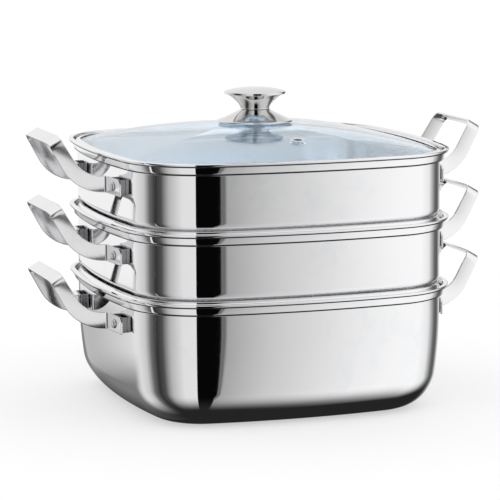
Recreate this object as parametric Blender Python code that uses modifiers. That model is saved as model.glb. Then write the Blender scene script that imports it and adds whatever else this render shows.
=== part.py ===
"""Square stovetop steamer: a pot, two perforated tiers and a domed glass lid.

Metres, +Z up. The origin is the middle of the pot's underside. The handles
stand out along X, and the front is the side that faces -Y.
"""

import math

import bmesh
import bpy
from mathutils import Matrix, Vector

# Plan of the walls, taken at the wall's outer face.
BODY_HALF_WIDTH = 0.1515
SIDE_RADIUS = 0.634
CORNER_RADIUS = 0.068
SIDE_SEGMENTS = 4
CORNER_SEGMENTS = 5

# Sheet, seats and clearances.
SHEET = 0.0008
REST_GAP = 0.0003
NEST_CLEARANCE = 0.0017
BORE_CLEARANCE = 0.0003
CUT_OVERRUN = 0.004
WELD_DISTANCE = 0.000001
SMOOTH_ANGLE = math.radians(30)

# Heights: the pot to its lip, and from one lip to the next.
POT_HEIGHT = 0.114
TIER_PITCH = 0.0614

# Collar and rolled lip at the mouth of the pot and of each tier.
COLLAR_STEP = 0.0042
COLLAR_DEPTH = 0.0107
COLLAR_ROUND = 0.0008
LIP_OVERHANG = 0.0038
LIP_DEPTH = 0.0026
LIP_ROUND = 0.0010

# Pot wall below its straight band, and the rounded bottom edge.
POT_STRAIGHT_DEPTH = 0.026
POT_TAPER = 0.0037
POT_ROUND_WIDTH = 0.037
POT_ROUND_HEIGHT = 0.038
POT_ROUND_START = math.radians(8)
POT_ROUND_SEGMENTS = 4
POT_TAPER_SEGMENTS = 2

# Waist and foot by which a tier stands on the ledge below.
CREASE_RISE = 0.0065
WAIST_INSET = 0.0022
WAIST_RISE = 0.0004
FOOT_HEIGHT = 0.0046
FOOT_ROUND = 0.0010

# Steam holes in a tier's floor, in two square grids set one between the other.
STEAM_HOLE_RADIUS = 0.006
STEAM_HOLE_PITCH = 0.056
STEAM_HOLE_SIDES = 8
STEAM_GRID_COUNTS = (4, 3)

# Lid: steel rim channel, silicone seat and domed glass.
RIM_SHEET = 0.0007
RIM_HEIGHT = 0.0084
RIM_ROUND = 0.0008
RIM_TOP_WIDTH = 0.0048
RIM_UNDER_WIDTH = 0.0058
GLASS_THICKNESS = 0.004
GLASS_RISE = 0.0203
GLASS_EDGE_GAP = 0.0005
GLASS_TOP_GAP = 0.0004
DOME_SHARES = (0.90, 0.72, 0.52, 0.32, 0.16)

# Steam vent eyelet in the front of the glass.
VENT_FORWARD = 0.094
VENT_ASIDE = 0.008
VENT_FLANGE_RADIUS = 0.0075
VENT_TUBE_RADIUS = 0.0046
VENT_BORE_RADIUS = 0.0035
VENT_FLANGE_THICKNESS = 0.0009
VENT_SEAT_GAP = 0.0004
VENT_SEGMENTS = 12

# Knob, measured from the flat middle of the glass upwards.
KNOB_SEGMENTS = 20
SKIRT_RADIUS = 0.0347
SKIRT_RIM_RISE = 0.0006
SKIRT_RIM_THICKNESS = 0.0022
SKIRT_SHEET = 0.0013
SKIRT_BOSS_RADIUS = 0.0085
NECK_RADIUS = 0.0134
NECK_RISE = 0.0125
NECK_BLEND = 0.0013
GRIP_RIM_RADIUS = 0.0272
GRIP_TOP_RISE = 0.0272
FLARE_SHARES = ((0.00, 0.08), (0.16, 0.34), (0.52, 0.68), (0.92, 0.94))
CAP_RADIUS = 0.0283
CAP_LIP_DROP = 0.0009
CAP_EDGE_HEIGHT = 0.0012
CAP_CROWN = 0.0036
CAP_SHARES = ((0.36, 0.96), (0.68, 0.76), (0.90, 0.38))

# Fixing screw and washers of the knob.
SCREW_RADIUS = 0.003
SCREW_HEAD_RADIUS = 0.0058
SCREW_HEAD_HEIGHT = 0.003
SCREW_HEAD_ROUND = 0.0012
SCREW_REACH = 0.020
SCREW_SEGMENTS = 12
GASKET_THICKNESS = 0.001
GASKET_RADIUS = 0.0105
WASHER_THICKNESS = 0.0012
WASHER_RADIUS = 0.0095
GRIP_BORE_DEPTH = 0.0095

# Handles: a steel strap bent into a loop, on riveted brackets.
STRAP_THICKNESS = 0.002
STRAP_ROOT_WIDTH = 0.0148
STRAP_TOP_WIDTH = 0.0126
STRAP_ROOT_DROP = 0.0240
STRAP_ROOT_RUN = 0.003
STRAP_CURVE_RADIUS = 0.034
STRAP_CURVE_ANGLE = math.radians(60)
STRAP_CURVE_SEGMENTS = 4
STRAP_RISE_LENGTH = 0.0265
ARM_LEAN = 0.0075
TAB_INNER_REACH = 0.0184
TAB_REACH = 0.0145
TAB_CORNER = 0.004
TAB_BEND_RADIUS = 0.003
GRIP_BEND_RADIUS = 0.007
TAB_BEND_SEGMENTS = 2
GRIP_BEND_SEGMENTS = 3

BRACKET_WIDTH = 0.024
BRACKET_HEIGHT = 0.0136
BRACKET_SHEET = 0.0015
BRACKET_STANDOFF = 0.0051

RIVET_SHANK_RADIUS = 0.0022
RIVET_HEAD_RADIUS = 0.0042
RIVET_HEAD_HEIGHT = 0.0021
RIVET_TAIL_RADIUS = 0.0034
RIVET_TAIL_HEIGHT = 0.0012
RIVET_SEGMENTS = 8
RIVET_DOME_SHARES = ((0.90, 0.48), (0.58, 0.85))

# Sizes that follow from the ones above.
COLLAR_HALF_WIDTH = BODY_HALF_WIDTH + COLLAR_STEP
LIP_HALF_WIDTH = COLLAR_HALF_WIDTH + LIP_OVERHANG
SEAT_HALF_WIDTH = COLLAR_HALF_WIDTH - SHEET - NEST_CLEARANCE
SEAT_DROP = COLLAR_DEPTH - SHEET - REST_GAP
STRAP_ROOT_LEVEL = -LIP_DEPTH - STRAP_ROOT_DROP
TAB_OFFSET = REST_GAP + BRACKET_STANDOFF + REST_GAP + STRAP_THICKNESS / 2
GRIP_BORE_RADIUS = SCREW_RADIUS + BORE_CLEARANCE

FINISHES = {
    "polished_steel": ((0.80, 0.80, 0.81, 1.0), 1.0, 0.06),
    "handle_steel": ((0.78, 0.78, 0.79, 1.0), 1.0, 0.10),
    "rivet_steel": ((0.66, 0.66, 0.67, 1.0), 1.0, 0.18),
    "knob_steel": ((0.72, 0.71, 0.70, 1.0), 1.0, 0.08),
    "tinted_glass": ((0.70, 0.80, 0.88, 0.35), 0.0, 0.03),
    "silicone": ((0.82, 0.83, 0.84, 1.0), 0.0, 0.55),
}


def remove_all_objects():
    """Empty the scene that the script starts in."""
    for obj in list(bpy.data.objects):
        bpy.data.objects.remove(obj, do_unlink=True)


def new_collection(name):
    """Make a collection in the scene and return it."""
    collection = bpy.data.collections.new(name)
    bpy.context.scene.collection.children.link(collection)
    return collection


def make_finish(name):
    """Make the Principled material of one finish."""
    color, metallic, roughness = FINISHES[name]
    material = bpy.data.materials.new(name)
    material.use_nodes = True
    shader = material.node_tree.nodes["Principled BSDF"]
    shader.inputs["Base Color"].default_value = color
    shader.inputs["Metallic"].default_value = metallic
    shader.inputs["Roughness"].default_value = roughness
    shader.inputs["Alpha"].default_value = color[-1]
    return material


def corner_centre():
    """Distance from either mid-plane to the centre of a plan corner.

    The corner's arc runs into both bowed sides without a kink, so its centre
    lies as far from the side's centre as the two radii differ.
    """
    side_centre = BODY_HALF_WIDTH - SIDE_RADIUS
    reach = SIDE_RADIUS - CORNER_RADIUS
    return (side_centre + math.sqrt(2 * reach ** 2 - side_centre ** 2)) / 2


def plan_outline(half_width):
    """Points of the rounded-square outline, anticlockwise from above.

    Every outline is an offset of the wall's, so the arcs share their centres.
    The first points belong to the side that faces +X, from its front end.
    """
    grow = half_width - BODY_HALF_WIDTH
    side_centre = BODY_HALF_WIDTH - SIDE_RADIUS
    centre = corner_centre()
    half_bow = math.atan2(centre, centre - side_centre)
    quarter = []
    for step in range(SIDE_SEGMENTS):
        angle = half_bow * (2 * step / SIDE_SEGMENTS - 1)
        radius = SIDE_RADIUS + grow
        quarter.append((side_centre + radius * math.cos(angle), radius * math.sin(angle)))
    sweep = math.pi / 2 - 2 * half_bow
    for step in range(CORNER_SEGMENTS):
        angle = half_bow + sweep * step / CORNER_SEGMENTS
        radius = CORNER_RADIUS + grow
        quarter.append((centre + radius * math.cos(angle), centre + radius * math.sin(angle)))
    outline = []
    for turn in range(4):
        rotation = Matrix.Rotation(turn * math.pi / 2, 2)
        outline.extend(rotation @ Vector(point) for point in quarter)
    return outline


def add_object(name, mesh, collection, finish=None, parent=None):
    """Link a mesh as an object, with its finish and its parent empty."""
    obj = bpy.data.objects.new(name, mesh)
    collection.objects.link(obj)
    if finish is not None:
        obj.data.materials.append(finish)
    if parent is not None:
        obj.parent = parent
    return obj


def add_empty(name, collection, height, parent=None):
    """Make the empty that carries one lifting part, on the steamer's axis."""
    empty = bpy.data.objects.new(name, None)
    empty.location = (0, 0, height)
    empty.empty_display_size = BODY_HALF_WIDTH
    empty.parent = parent
    collection.objects.link(empty)
    return empty


def shade_round(mesh, angle=SMOOTH_ANGLE):
    """Shade a mesh smooth, with sharp edges past the given angle."""
    mesh.shade_smooth()
    mesh.set_sharp_from_angle(angle=angle)


def loft_mesh(name, outlines, close_end):
    """Skin a run of outlines of equal count, and cap the last if asked."""
    mesh = bpy.data.meshes.new(name)
    count = len(outlines[0])
    build = bmesh.new()
    rings = [[build.verts.new(point) for point in outline] for outline in outlines]
    for upper, lower in zip(rings, rings[1:]):
        for index in range(count):
            following = (index + 1) % count
            build.faces.new((upper[index], lower[index], lower[following], upper[following]))
    if close_end:
        build.faces.new(reversed(rings[-1]))
    build.normal_update()
    build.to_mesh(mesh)
    build.free()
    shade_round(mesh)
    return mesh


def offset_rings(profile):
    """Plan outlines for a profile of half-width and height pairs."""
    return [
        [Vector((point.x, point.y, height)) for point in plan_outline(half_width)]
        for half_width, height in profile
    ]


def add_sheet(obj, thickness):
    """Give an open surface its sheet, grown away from its outer face."""
    solidify = obj.modifiers.new("sheet", "SOLIDIFY")
    solidify.thickness = thickness
    solidify.offset = -1
    solidify.use_even_offset = True
    return solidify


def add_cut(obj, cutter):
    """Cut one object with another."""
    boolean = obj.modifiers.new("cut_" + cutter.name, "BOOLEAN")
    boolean.operation = "DIFFERENCE"
    boolean.solver = "EXACT"
    boolean.object = cutter
    return boolean


def hide_cutter(obj):
    """Show a cutter as wire only."""
    obj.hide_render = True
    obj.display_type = "WIRE"


def cylinder_mesh(name, radius, depth, sides, places):
    """Mesh of upright cylinders of one size, centred on the given places."""
    mesh = bpy.data.meshes.new(name)
    build = bmesh.new()
    for place in places:
        bmesh.ops.create_cone(
            build, cap_ends=True, segments=sides, radius1=radius, radius2=radius,
            depth=depth, matrix=Matrix.Translation(place))
    build.to_mesh(mesh)
    build.free()
    return mesh


def turned_object(name, profile, segments, collection, finish, parent, closed=False):
    """Turn a profile of radius and height pairs about the object's Z axis."""
    mesh = bpy.data.meshes.new(name)
    points = [(radius, 0, height) for radius, height in profile]
    edges = [(index, index + 1) for index in range(len(points) - 1)]
    if closed:
        edges.append((len(points) - 1, 0))
    mesh.from_pydata(points, edges, [])
    obj = add_object(name, mesh, collection, finish, parent)
    screw = obj.modifiers.new("turn", "SCREW")
    screw.axis = "Z"
    screw.angle = 2 * math.pi
    screw.steps = segments
    screw.render_steps = segments
    screw.use_merge_vertices = True
    screw.merge_threshold = WELD_DISTANCE
    screw.use_smooth_shade = True
    return obj


def mouth_profile():
    """Profile of a lip and collar, from the lip's curled end to the wall.

    Heights count from the top of the lip. It follows the sheet's outer face.
    """
    lip_inner = LIP_HALF_WIDTH - SHEET
    return [
        (lip_inner, -LIP_DEPTH),
        (lip_inner, -SHEET - LIP_ROUND),
        (lip_inner - LIP_ROUND, -SHEET),
        (COLLAR_HALF_WIDTH, -SHEET),
        (COLLAR_HALF_WIDTH, -COLLAR_DEPTH + COLLAR_ROUND),
        (COLLAR_HALF_WIDTH - COLLAR_ROUND, -COLLAR_DEPTH),
        (BODY_HALF_WIDTH, -COLLAR_DEPTH),
    ]


def pot_profile():
    """Whole profile of the pot, down to the edge of its flat underside."""
    profile = mouth_profile()
    straight_end = -POT_STRAIGHT_DEPTH
    taper_end = -POT_HEIGHT + POT_ROUND_HEIGHT * (1 - math.sin(POT_ROUND_START))
    for step in range(POT_TAPER_SEGMENTS + 1):
        share = step / POT_TAPER_SEGMENTS
        half_width = BODY_HALF_WIDTH - POT_TAPER * share ** 2
        profile.append((half_width, straight_end + (taper_end - straight_end) * share))
    flat_edge = BODY_HALF_WIDTH - POT_TAPER - POT_ROUND_WIDTH * math.cos(POT_ROUND_START)
    for step in range(1, POT_ROUND_SEGMENTS + 1):
        share = step / POT_ROUND_SEGMENTS
        angle = POT_ROUND_START + (math.pi / 2 - POT_ROUND_START) * share
        half_width = flat_edge + POT_ROUND_WIDTH * math.cos(angle)
        profile.append((half_width, -POT_HEIGHT + POT_ROUND_HEIGHT * (1 - math.sin(angle))))
    return profile


def tier_profile():
    """Whole profile of a tier, down to the edge of its flat floor."""
    seat_top = -TIER_PITCH
    foot_bottom = seat_top - SEAT_DROP
    return mouth_profile() + [
        (BODY_HALF_WIDTH, seat_top + CREASE_RISE),
        (BODY_HALF_WIDTH - WAIST_INSET, seat_top + WAIST_RISE),
        (SEAT_HALF_WIDTH, foot_bottom + FOOT_HEIGHT),
        (SEAT_HALF_WIDTH, foot_bottom + FOOT_ROUND),
        (SEAT_HALF_WIDTH - FOOT_ROUND, foot_bottom),
    ]


def steam_hole_places(floor_height):
    """Centres of the steam holes on a tier's floor."""
    places = []
    for count in STEAM_GRID_COUNTS:
        middle = (count - 1) / 2
        for row in range(count):
            for column in range(count):
                place = ((column - middle) * STEAM_HOLE_PITCH, (row - middle) * STEAM_HOLE_PITCH)
                places.append(Vector((*place, floor_height)))
    return places


def make_pot_body(collection, finish, parent):
    """Drawn pot with its rounded bottom edge, collar and rolled lip."""
    mesh = loft_mesh("pot_body", offset_rings(pot_profile()), close_end=True)
    pot = add_object("pot_body", mesh, collection, finish, parent)
    add_sheet(pot, SHEET)
    return pot


def make_tier_body(name, collection, cutters, finish, parent):
    """Drawn tier with a perforated floor, on a foot below its waist."""
    mesh = loft_mesh(name, offset_rings(tier_profile()), close_end=True)
    tier = add_object(name, mesh, collection, finish, parent)
    add_sheet(tier, SHEET)
    floor_height = -TIER_PITCH - SEAT_DROP + SHEET / 2
    cutter_mesh = cylinder_mesh(
        name + "_steam_holes", STEAM_HOLE_RADIUS, SHEET + CUT_OVERRUN, STEAM_HOLE_SIDES,
        steam_hole_places(floor_height))
    cutter = add_object(name + "_steam_holes", cutter_mesh, cutters, parent=parent)
    hide_cutter(cutter)
    add_cut(tier, cutter)
    return tier


def handle_seat():
    """Middle and outward direction of the flat of wall that carries a bracket.

    It is the front end facet of the side that faces +X, seen in plan.
    """
    outline = plan_outline(BODY_HALF_WIDTH)
    front, back = outline[0], outline[1]
    along = (front - back).normalized()
    return (front + back) / 2, Vector((-along.y, along.x))


def fillet(before, corner, after, radius, segments):
    """Points of the arc that rounds the corner between two straight runs."""
    arriving = (corner - before).normalized()
    leaving = (after - corner).normalized()
    turn = arriving.angle(leaving)
    setback = radius * math.tan(turn / 2)
    start = corner - arriving * setback
    inward = (leaving - arriving * arriving.dot(leaving)).normalized()
    centre = start + inward * radius
    points = []
    for step in range(segments + 1):
        angle = turn * step / segments
        points.append(centre + radius * (math.sin(angle) * arriving - math.cos(angle) * inward))
    return points


def arm_course():
    """Course of an arm's middle line in the XZ plane, from root to top.

    Each entry is the distance run out, the rise, and the slope of the arm.
    """
    course = [(0.0, 0.0, 0.0), (STRAP_ROOT_RUN, 0.0, 0.0)]
    for step in range(1, STRAP_CURVE_SEGMENTS + 1):
        slope = STRAP_CURVE_ANGLE * step / STRAP_CURVE_SEGMENTS
        run = STRAP_ROOT_RUN + STRAP_CURVE_RADIUS * math.sin(slope)
        course.append((run, STRAP_CURVE_RADIUS * (1 - math.cos(slope)), slope))
    run, rise, slope = course[-1]
    run += STRAP_RISE_LENGTH * math.cos(slope)
    rise += STRAP_RISE_LENGTH * math.sin(slope)
    course.append((run, rise, slope))
    return course


def strap_stations():
    """Stations of the front half of a strap on the +X side.

    Each is a point of the middle line, the direction of the strap's width
    there, its half width, and the share of that half kept on the upper side.
    """
    seat, outward = handle_seat()
    along = Vector((outward.y, -outward.x))
    rivet = seat + outward * TAB_OFFSET
    root_corner = (rivet - along * TAB_INNER_REACH).to_3d()
    tab_end = (rivet + along * TAB_REACH).to_3d()
    tab_corner = (rivet + along * (TAB_REACH - TAB_CORNER)).to_3d()
    course = arm_course()
    reach = course[-1][0]
    points = []
    for run, rise, slope in course:
        lean = ARM_LEAN * run / reach
        points.append(root_corner + Vector((run, lean, rise)))
    half_root = STRAP_ROOT_WIDTH / 2
    half_top = STRAP_TOP_WIDTH / 2
    up = Vector((0, 0, 1))
    stations = [
        (tab_end, up, half_root, 1 - TAB_CORNER / half_root),
        (tab_corner, up, half_root, 1.0),
    ]
    for point in fillet(tab_corner, points[0], points[1], TAB_BEND_RADIUS, TAB_BEND_SEGMENTS):
        stations.append((point, up, half_root, 1.0))
    for (run, rise, slope), point in zip(course[2:-1], points[2:-1]):
        width_way = Vector((-math.sin(slope), 0, math.cos(slope)))
        half_width = half_root + (half_top - half_root) * run / reach
        stations.append((point, width_way, half_width, 1.0))
    top = points[-1]
    middle = Vector((top.x, 0, top.z))
    for point in fillet(points[-2], top, middle, GRIP_BEND_RADIUS, GRIP_BEND_SEGMENTS):
        stations.append((point, width_way, half_top, 1.0))
    stations.append((middle, width_way, half_top, 1.0))
    return stations


def strap_mesh():
    """Middle surface of the front half of a strap."""
    mesh = bpy.data.meshes.new("strap_half")
    build = bmesh.new()
    edges = []
    for point, width_way, half_width, upper_share in strap_stations():
        lower = build.verts.new(point - width_way * half_width)
        upper = build.verts.new(point + width_way * half_width * upper_share)
        edges.append((lower, upper))
    for (lower, upper), (next_lower, next_upper) in zip(edges, edges[1:]):
        build.faces.new((lower, next_lower, next_upper, upper))
    build.normal_update()
    build.to_mesh(mesh)
    build.free()
    shade_round(mesh)
    return mesh


def bracket_mesh():
    """Channel that stands a strap's tab off the wall, with its rivet hole.

    Its X axis points away from the wall, and the wall's face is at zero.
    """
    half = BRACKET_WIDTH / 2
    outer = REST_GAP + BRACKET_STANDOFF
    outline = [
        (REST_GAP, -half),
        (outer, -half),
        (outer, half),
        (REST_GAP, half),
        (REST_GAP, half - BRACKET_SHEET),
        (outer - BRACKET_SHEET, half - BRACKET_SHEET),
        (outer - BRACKET_SHEET, -half + BRACKET_SHEET),
        (REST_GAP, -half + BRACKET_SHEET),
    ]
    curve = bpy.data.curves.new("bracket_outline", "CURVE")
    curve.dimensions = "2D"
    curve.fill_mode = "BOTH"
    curve.extrude = BRACKET_HEIGHT / 2
    spline = curve.splines.new("POLY")
    spline.points.add(len(outline) - 1)
    for point, (away, aside) in zip(spline.points, outline):
        point.co = (away, aside, 0, 1)
    spline.use_cyclic_u = True
    guide = bpy.data.objects.new("bracket_outline", curve)
    bpy.context.scene.collection.objects.link(guide)
    depsgraph = bpy.context.evaluated_depsgraph_get()
    mesh = bpy.data.meshes.new_from_object(guide.evaluated_get(depsgraph))
    bpy.data.objects.remove(guide)
    build = bmesh.new()
    build.from_mesh(mesh)
    bmesh.ops.remove_doubles(build, verts=build.verts, dist=WELD_DISTANCE)
    build.to_mesh(mesh)
    build.free()
    return mesh


def rivet_profile():
    """Half outline of a rivet, from the crown of its head to its tail."""
    plate_back = REST_GAP + BRACKET_STANDOFF - BRACKET_SHEET
    tab_face = TAB_OFFSET + STRAP_THICKNESS / 2
    head_seat = tab_face + REST_GAP
    tail_face = plate_back - REST_GAP
    profile = [(0, head_seat + RIVET_HEAD_HEIGHT)]
    for radius_share, height_share in reversed(RIVET_DOME_SHARES):
        radius = RIVET_HEAD_RADIUS * radius_share
        profile.append((radius, head_seat + RIVET_HEAD_HEIGHT * height_share))
    return profile + [
        (RIVET_HEAD_RADIUS, head_seat),
        (RIVET_SHANK_RADIUS, head_seat),
        (RIVET_SHANK_RADIUS, tail_face),
        (RIVET_TAIL_RADIUS, tail_face),
        (RIVET_TAIL_RADIUS, tail_face - RIVET_TAIL_HEIGHT),
        (0, tail_face - RIVET_TAIL_HEIGHT),
    ]


def seat_frames():
    """Place and heading of each of a vessel's four bracket seats."""
    seat, outward = handle_seat()
    heading = math.atan2(outward.y, outward.x)
    return {
        "right_front": ((seat.x, seat.y), heading),
        "right_back": ((seat.x, -seat.y), -heading),
        "left_front": ((-seat.x, seat.y), math.pi - heading),
        "left_back": ((-seat.x, -seat.y), math.pi + heading),
    }


def make_rivet_holes(name, side, cutters, parent):
    """Cutter of the two rivet holes of one handle, along their rivets."""
    places = [frame for key, frame in seat_frames().items() if key.startswith(side)]
    depth = 2 * (TAB_OFFSET + CUT_OVERRUN)
    mesh = bpy.data.meshes.new(name)
    build = bmesh.new()
    for (x, y), heading in places:
        turn = Matrix.Rotation(heading, 4, "Z") @ Matrix.Rotation(math.pi / 2, 4, "Y")
        place = Matrix.Translation((x, y, STRAP_ROOT_LEVEL)) @ turn
        bmesh.ops.create_cone(
            build, cap_ends=True, segments=RIVET_SEGMENTS,
            radius1=RIVET_SHANK_RADIUS + BORE_CLEARANCE,
            radius2=RIVET_SHANK_RADIUS + BORE_CLEARANCE, depth=depth, matrix=place)
    build.to_mesh(mesh)
    build.free()
    cutter = add_object(name, mesh, cutters, parent=parent)
    hide_cutter(cutter)
    return cutter


def make_handle(prefix, side, collection, cutters, finishes, parent):
    """One handle: its strap, two brackets and two rivets."""
    holes = make_rivet_holes(f"{prefix}_{side}_rivet_holes", side, cutters, parent)
    strap = add_object(
        f"{prefix}_{side}_strap", strap_mesh(), collection, finishes["handle_steel"], parent)
    strap.location = (0, 0, STRAP_ROOT_LEVEL)
    strap.rotation_euler = (0, 0, math.pi if side == "left" else 0)
    mirror = strap.modifiers.new("back_half", "MIRROR")
    mirror.use_axis = (False, True, False)
    mirror.merge_threshold = WELD_DISTANCE
    solidify = strap.modifiers.new("sheet", "SOLIDIFY")
    solidify.thickness = STRAP_THICKNESS
    solidify.offset = 0
    solidify.use_even_offset = True
    add_cut(strap, holes)
    for key, ((x, y), heading) in seat_frames().items():
        if not key.startswith(side):
            continue
        bracket = add_object(
            f"{prefix}_{key}_bracket", bracket_mesh(), collection,
            finishes["handle_steel"], parent)
        bracket.location = (x, y, STRAP_ROOT_LEVEL)
        bracket.rotation_euler = (0, 0, heading)
        add_cut(bracket, holes)
        rivet = turned_object(
            f"{prefix}_{key}_rivet", rivet_profile(), RIVET_SEGMENTS, collection,
            finishes["rivet_steel"], parent)
        rivet.location = (x, y, STRAP_ROOT_LEVEL)
        rivet.rotation_euler = (0, math.pi / 2, heading)


def dome_height(share):
    """Height of the dome's top above the glass edge, at a share of its width.

    It rises straight from one lofted outline to the next, as the solid does.
    """
    flat_share = DOME_SHARES[-1]
    shares = (1.0,) + DOME_SHARES
    heights = [GLASS_RISE * (1 - value ** 2) / (1 - flat_share ** 2) for value in shares]
    for outer, inner, low, high in zip(shares, shares[1:], heights, heights[1:]):
        if share >= inner:
            return low + (high - low) * (outer - share) / (outer - inner)
    return heights[-1]


def lid_levels():
    """Heights of the lid's rim and glass, from the top of the tier's lip."""
    rim_bottom = -SEAT_DROP
    rim_top = rim_bottom + RIM_HEIGHT
    glass_top = rim_top - RIM_SHEET - GLASS_TOP_GAP
    return rim_bottom, rim_top, glass_top


def make_lid_rim(collection, finish, parent):
    """Rolled steel channel round the edge of the glass."""
    rim_bottom, rim_top, _ = lid_levels()
    profile = [
        (SEAT_HALF_WIDTH - RIM_TOP_WIDTH, rim_top),
        (SEAT_HALF_WIDTH - RIM_ROUND, rim_top),
        (SEAT_HALF_WIDTH, rim_top - RIM_ROUND),
        (SEAT_HALF_WIDTH, rim_bottom + RIM_ROUND),
        (SEAT_HALF_WIDTH - RIM_ROUND, rim_bottom),
        (SEAT_HALF_WIDTH - RIM_UNDER_WIDTH, rim_bottom),
    ]
    mesh = loft_mesh("lid_rim_ring", offset_rings(profile), close_end=False)
    rim = add_object("lid_rim_ring", mesh, collection, finish, parent)
    add_sheet(rim, RIM_SHEET)
    return rim


def glass_half_widths():
    """Half widths of the glass at its edge and where its dome starts."""
    edge = SEAT_HALF_WIDTH - RIM_SHEET - GLASS_EDGE_GAP
    dome = SEAT_HALF_WIDTH - RIM_TOP_WIDTH - GLASS_TOP_GAP
    return edge, dome


def make_rim_gasket(collection, finish, parent):
    """Silicone seat between the glass and the lower flange of the rim."""
    rim_bottom, _, glass_top = lid_levels()
    edge, dome = glass_half_widths()
    bottom = rim_bottom + RIM_SHEET + REST_GAP
    top = glass_top - GLASS_THICKNESS - REST_GAP
    profile = [(dome, top), (edge, top), (edge, bottom), (dome, bottom), (dome, top)]
    mesh = loft_mesh("rim_gasket", offset_rings(profile), close_end=False)
    build = bmesh.new()
    build.from_mesh(mesh)
    bmesh.ops.remove_doubles(build, verts=build.verts, dist=WELD_DISTANCE)
    build.to_mesh(mesh)
    build.free()
    return add_object("rim_gasket", mesh, collection, finish, parent)


def make_hole_cutter(name, radius, segments, matrix, cutters, parent):
    """Cylinder that cuts one round hole through the glass."""
    mesh = cylinder_mesh(
        name, radius, GLASS_THICKNESS + 2 * CUT_OVERRUN, segments,
        [Vector((0, 0, -GLASS_THICKNESS / 2))])
    cutter = add_object(name, mesh, cutters, parent=parent)
    cutter.matrix_local = matrix
    hide_cutter(cutter)
    return cutter


def vent_matrix():
    """Place of the vent on the glass, square to the dome there."""
    _, _, glass_top = lid_levels()
    _, dome = glass_half_widths()
    share = VENT_FORWARD / dome
    step = VENT_FLANGE_RADIUS / dome
    drop = dome_height(share - step) - dome_height(share + step)
    tilt = math.atan2(drop, 2 * VENT_FLANGE_RADIUS)
    place = Vector((VENT_ASIDE, -VENT_FORWARD, glass_top + dome_height(share)))
    return Matrix.Translation(place) @ Matrix.Rotation(tilt, 4, "X")


def make_lid_glass(collection, cutters, finish, parent):
    """Domed glass with holes for the knob's screw and the steam vent."""
    _, _, glass_top = lid_levels()
    edge, dome = glass_half_widths()
    rim_outline = plan_outline(dome)
    outlines = []
    for share in reversed(DOME_SHARES):
        height = glass_top + dome_height(share)
        outlines.append([Vector((p.x * share, p.y * share, height)) for p in rim_outline])
    outlines.append([Vector((p.x, p.y, glass_top)) for p in rim_outline])
    outlines.append([Vector((p.x, p.y, glass_top)) for p in plan_outline(edge)])
    mesh = loft_mesh("lid_glass", outlines, close_end=False)
    build = bmesh.new()
    build.from_mesh(mesh)
    build.verts.ensure_lookup_table()
    build.faces.new([build.verts[index] for index in range(len(rim_outline))])
    build.to_mesh(mesh)
    build.free()
    shade_round(mesh)
    glass = add_object("lid_glass", mesh, collection, finish, parent)
    add_sheet(glass, GLASS_THICKNESS)
    top = Matrix.Translation((0, 0, glass_top + GLASS_RISE))
    screw_hole = make_hole_cutter(
        "glass_screw_hole", SCREW_RADIUS + 2 * BORE_CLEARANCE, SCREW_SEGMENTS, top, cutters,
        parent)
    vent_hole = make_hole_cutter(
        "glass_vent_hole", VENT_TUBE_RADIUS + BORE_CLEARANCE, VENT_SEGMENTS, vent_matrix(),
        cutters, parent)
    add_cut(glass, screw_hole)
    add_cut(glass, vent_hole)
    return glass


def make_vent(collection, finish, parent):
    """Steel eyelet through the glass, flanged above and below."""
    upper = VENT_SEAT_GAP
    lower = -GLASS_THICKNESS - VENT_SEAT_GAP
    profile = [
        (VENT_BORE_RADIUS, upper + VENT_FLANGE_THICKNESS),
        (VENT_FLANGE_RADIUS, upper + VENT_FLANGE_THICKNESS),
        (VENT_FLANGE_RADIUS, upper),
        (VENT_TUBE_RADIUS, upper),
        (VENT_TUBE_RADIUS, lower),
        (VENT_FLANGE_RADIUS, lower),
        (VENT_FLANGE_RADIUS, lower - VENT_FLANGE_THICKNESS),
        (VENT_BORE_RADIUS, lower - VENT_FLANGE_THICKNESS),
    ]
    vent = turned_object(
        "vent_grommet", profile, VENT_SEGMENTS, collection, finish, parent, closed=True)
    vent.matrix_local = vent_matrix()
    return vent


def skirt_profile():
    """Profile of the knob's skirt: cone, rolled rim and middle boss."""
    boss_bottom = REST_GAP + GASKET_THICKNESS + REST_GAP
    cone_foot = SKIRT_RIM_RISE + SKIRT_RIM_THICKNESS
    rim_middle = SKIRT_RIM_RISE + SKIRT_RIM_THICKNESS / 2
    underside = NECK_RISE - NECK_BLEND - SKIRT_SHEET
    return [
        (GRIP_BORE_RADIUS, NECK_RISE),
        (NECK_RADIUS, NECK_RISE),
        (NECK_RADIUS + NECK_BLEND, NECK_RISE - NECK_BLEND),
        (SKIRT_RADIUS - SKIRT_SHEET, cone_foot),
        (SKIRT_RADIUS, rim_middle),
        (SKIRT_RADIUS - SKIRT_SHEET / 2, SKIRT_RIM_RISE),
        (SKIRT_RADIUS - 2 * SKIRT_SHEET, rim_middle),
        (NECK_RADIUS, underside),
        (SKIRT_BOSS_RADIUS, underside),
        (SKIRT_BOSS_RADIUS, boss_bottom),
        (GRIP_BORE_RADIUS, boss_bottom),
    ]


def grip_profile():
    """Profile of the knob's waisted grip, with its blind bore."""
    bottom = NECK_RISE + REST_GAP
    height = GRIP_TOP_RISE - bottom
    flare = GRIP_RIM_RADIUS - NECK_RADIUS
    profile = [(0, GRIP_TOP_RISE), (GRIP_RIM_RADIUS, GRIP_TOP_RISE)]
    for radius_share, height_share in reversed(FLARE_SHARES):
        profile.append((NECK_RADIUS + flare * radius_share, bottom + height * height_share))
    return profile + [
        (NECK_RADIUS, bottom),
        (GRIP_BORE_RADIUS, bottom),
        (GRIP_BORE_RADIUS, bottom + GRIP_BORE_DEPTH),
        (0, bottom + GRIP_BORE_DEPTH),
    ]


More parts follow.
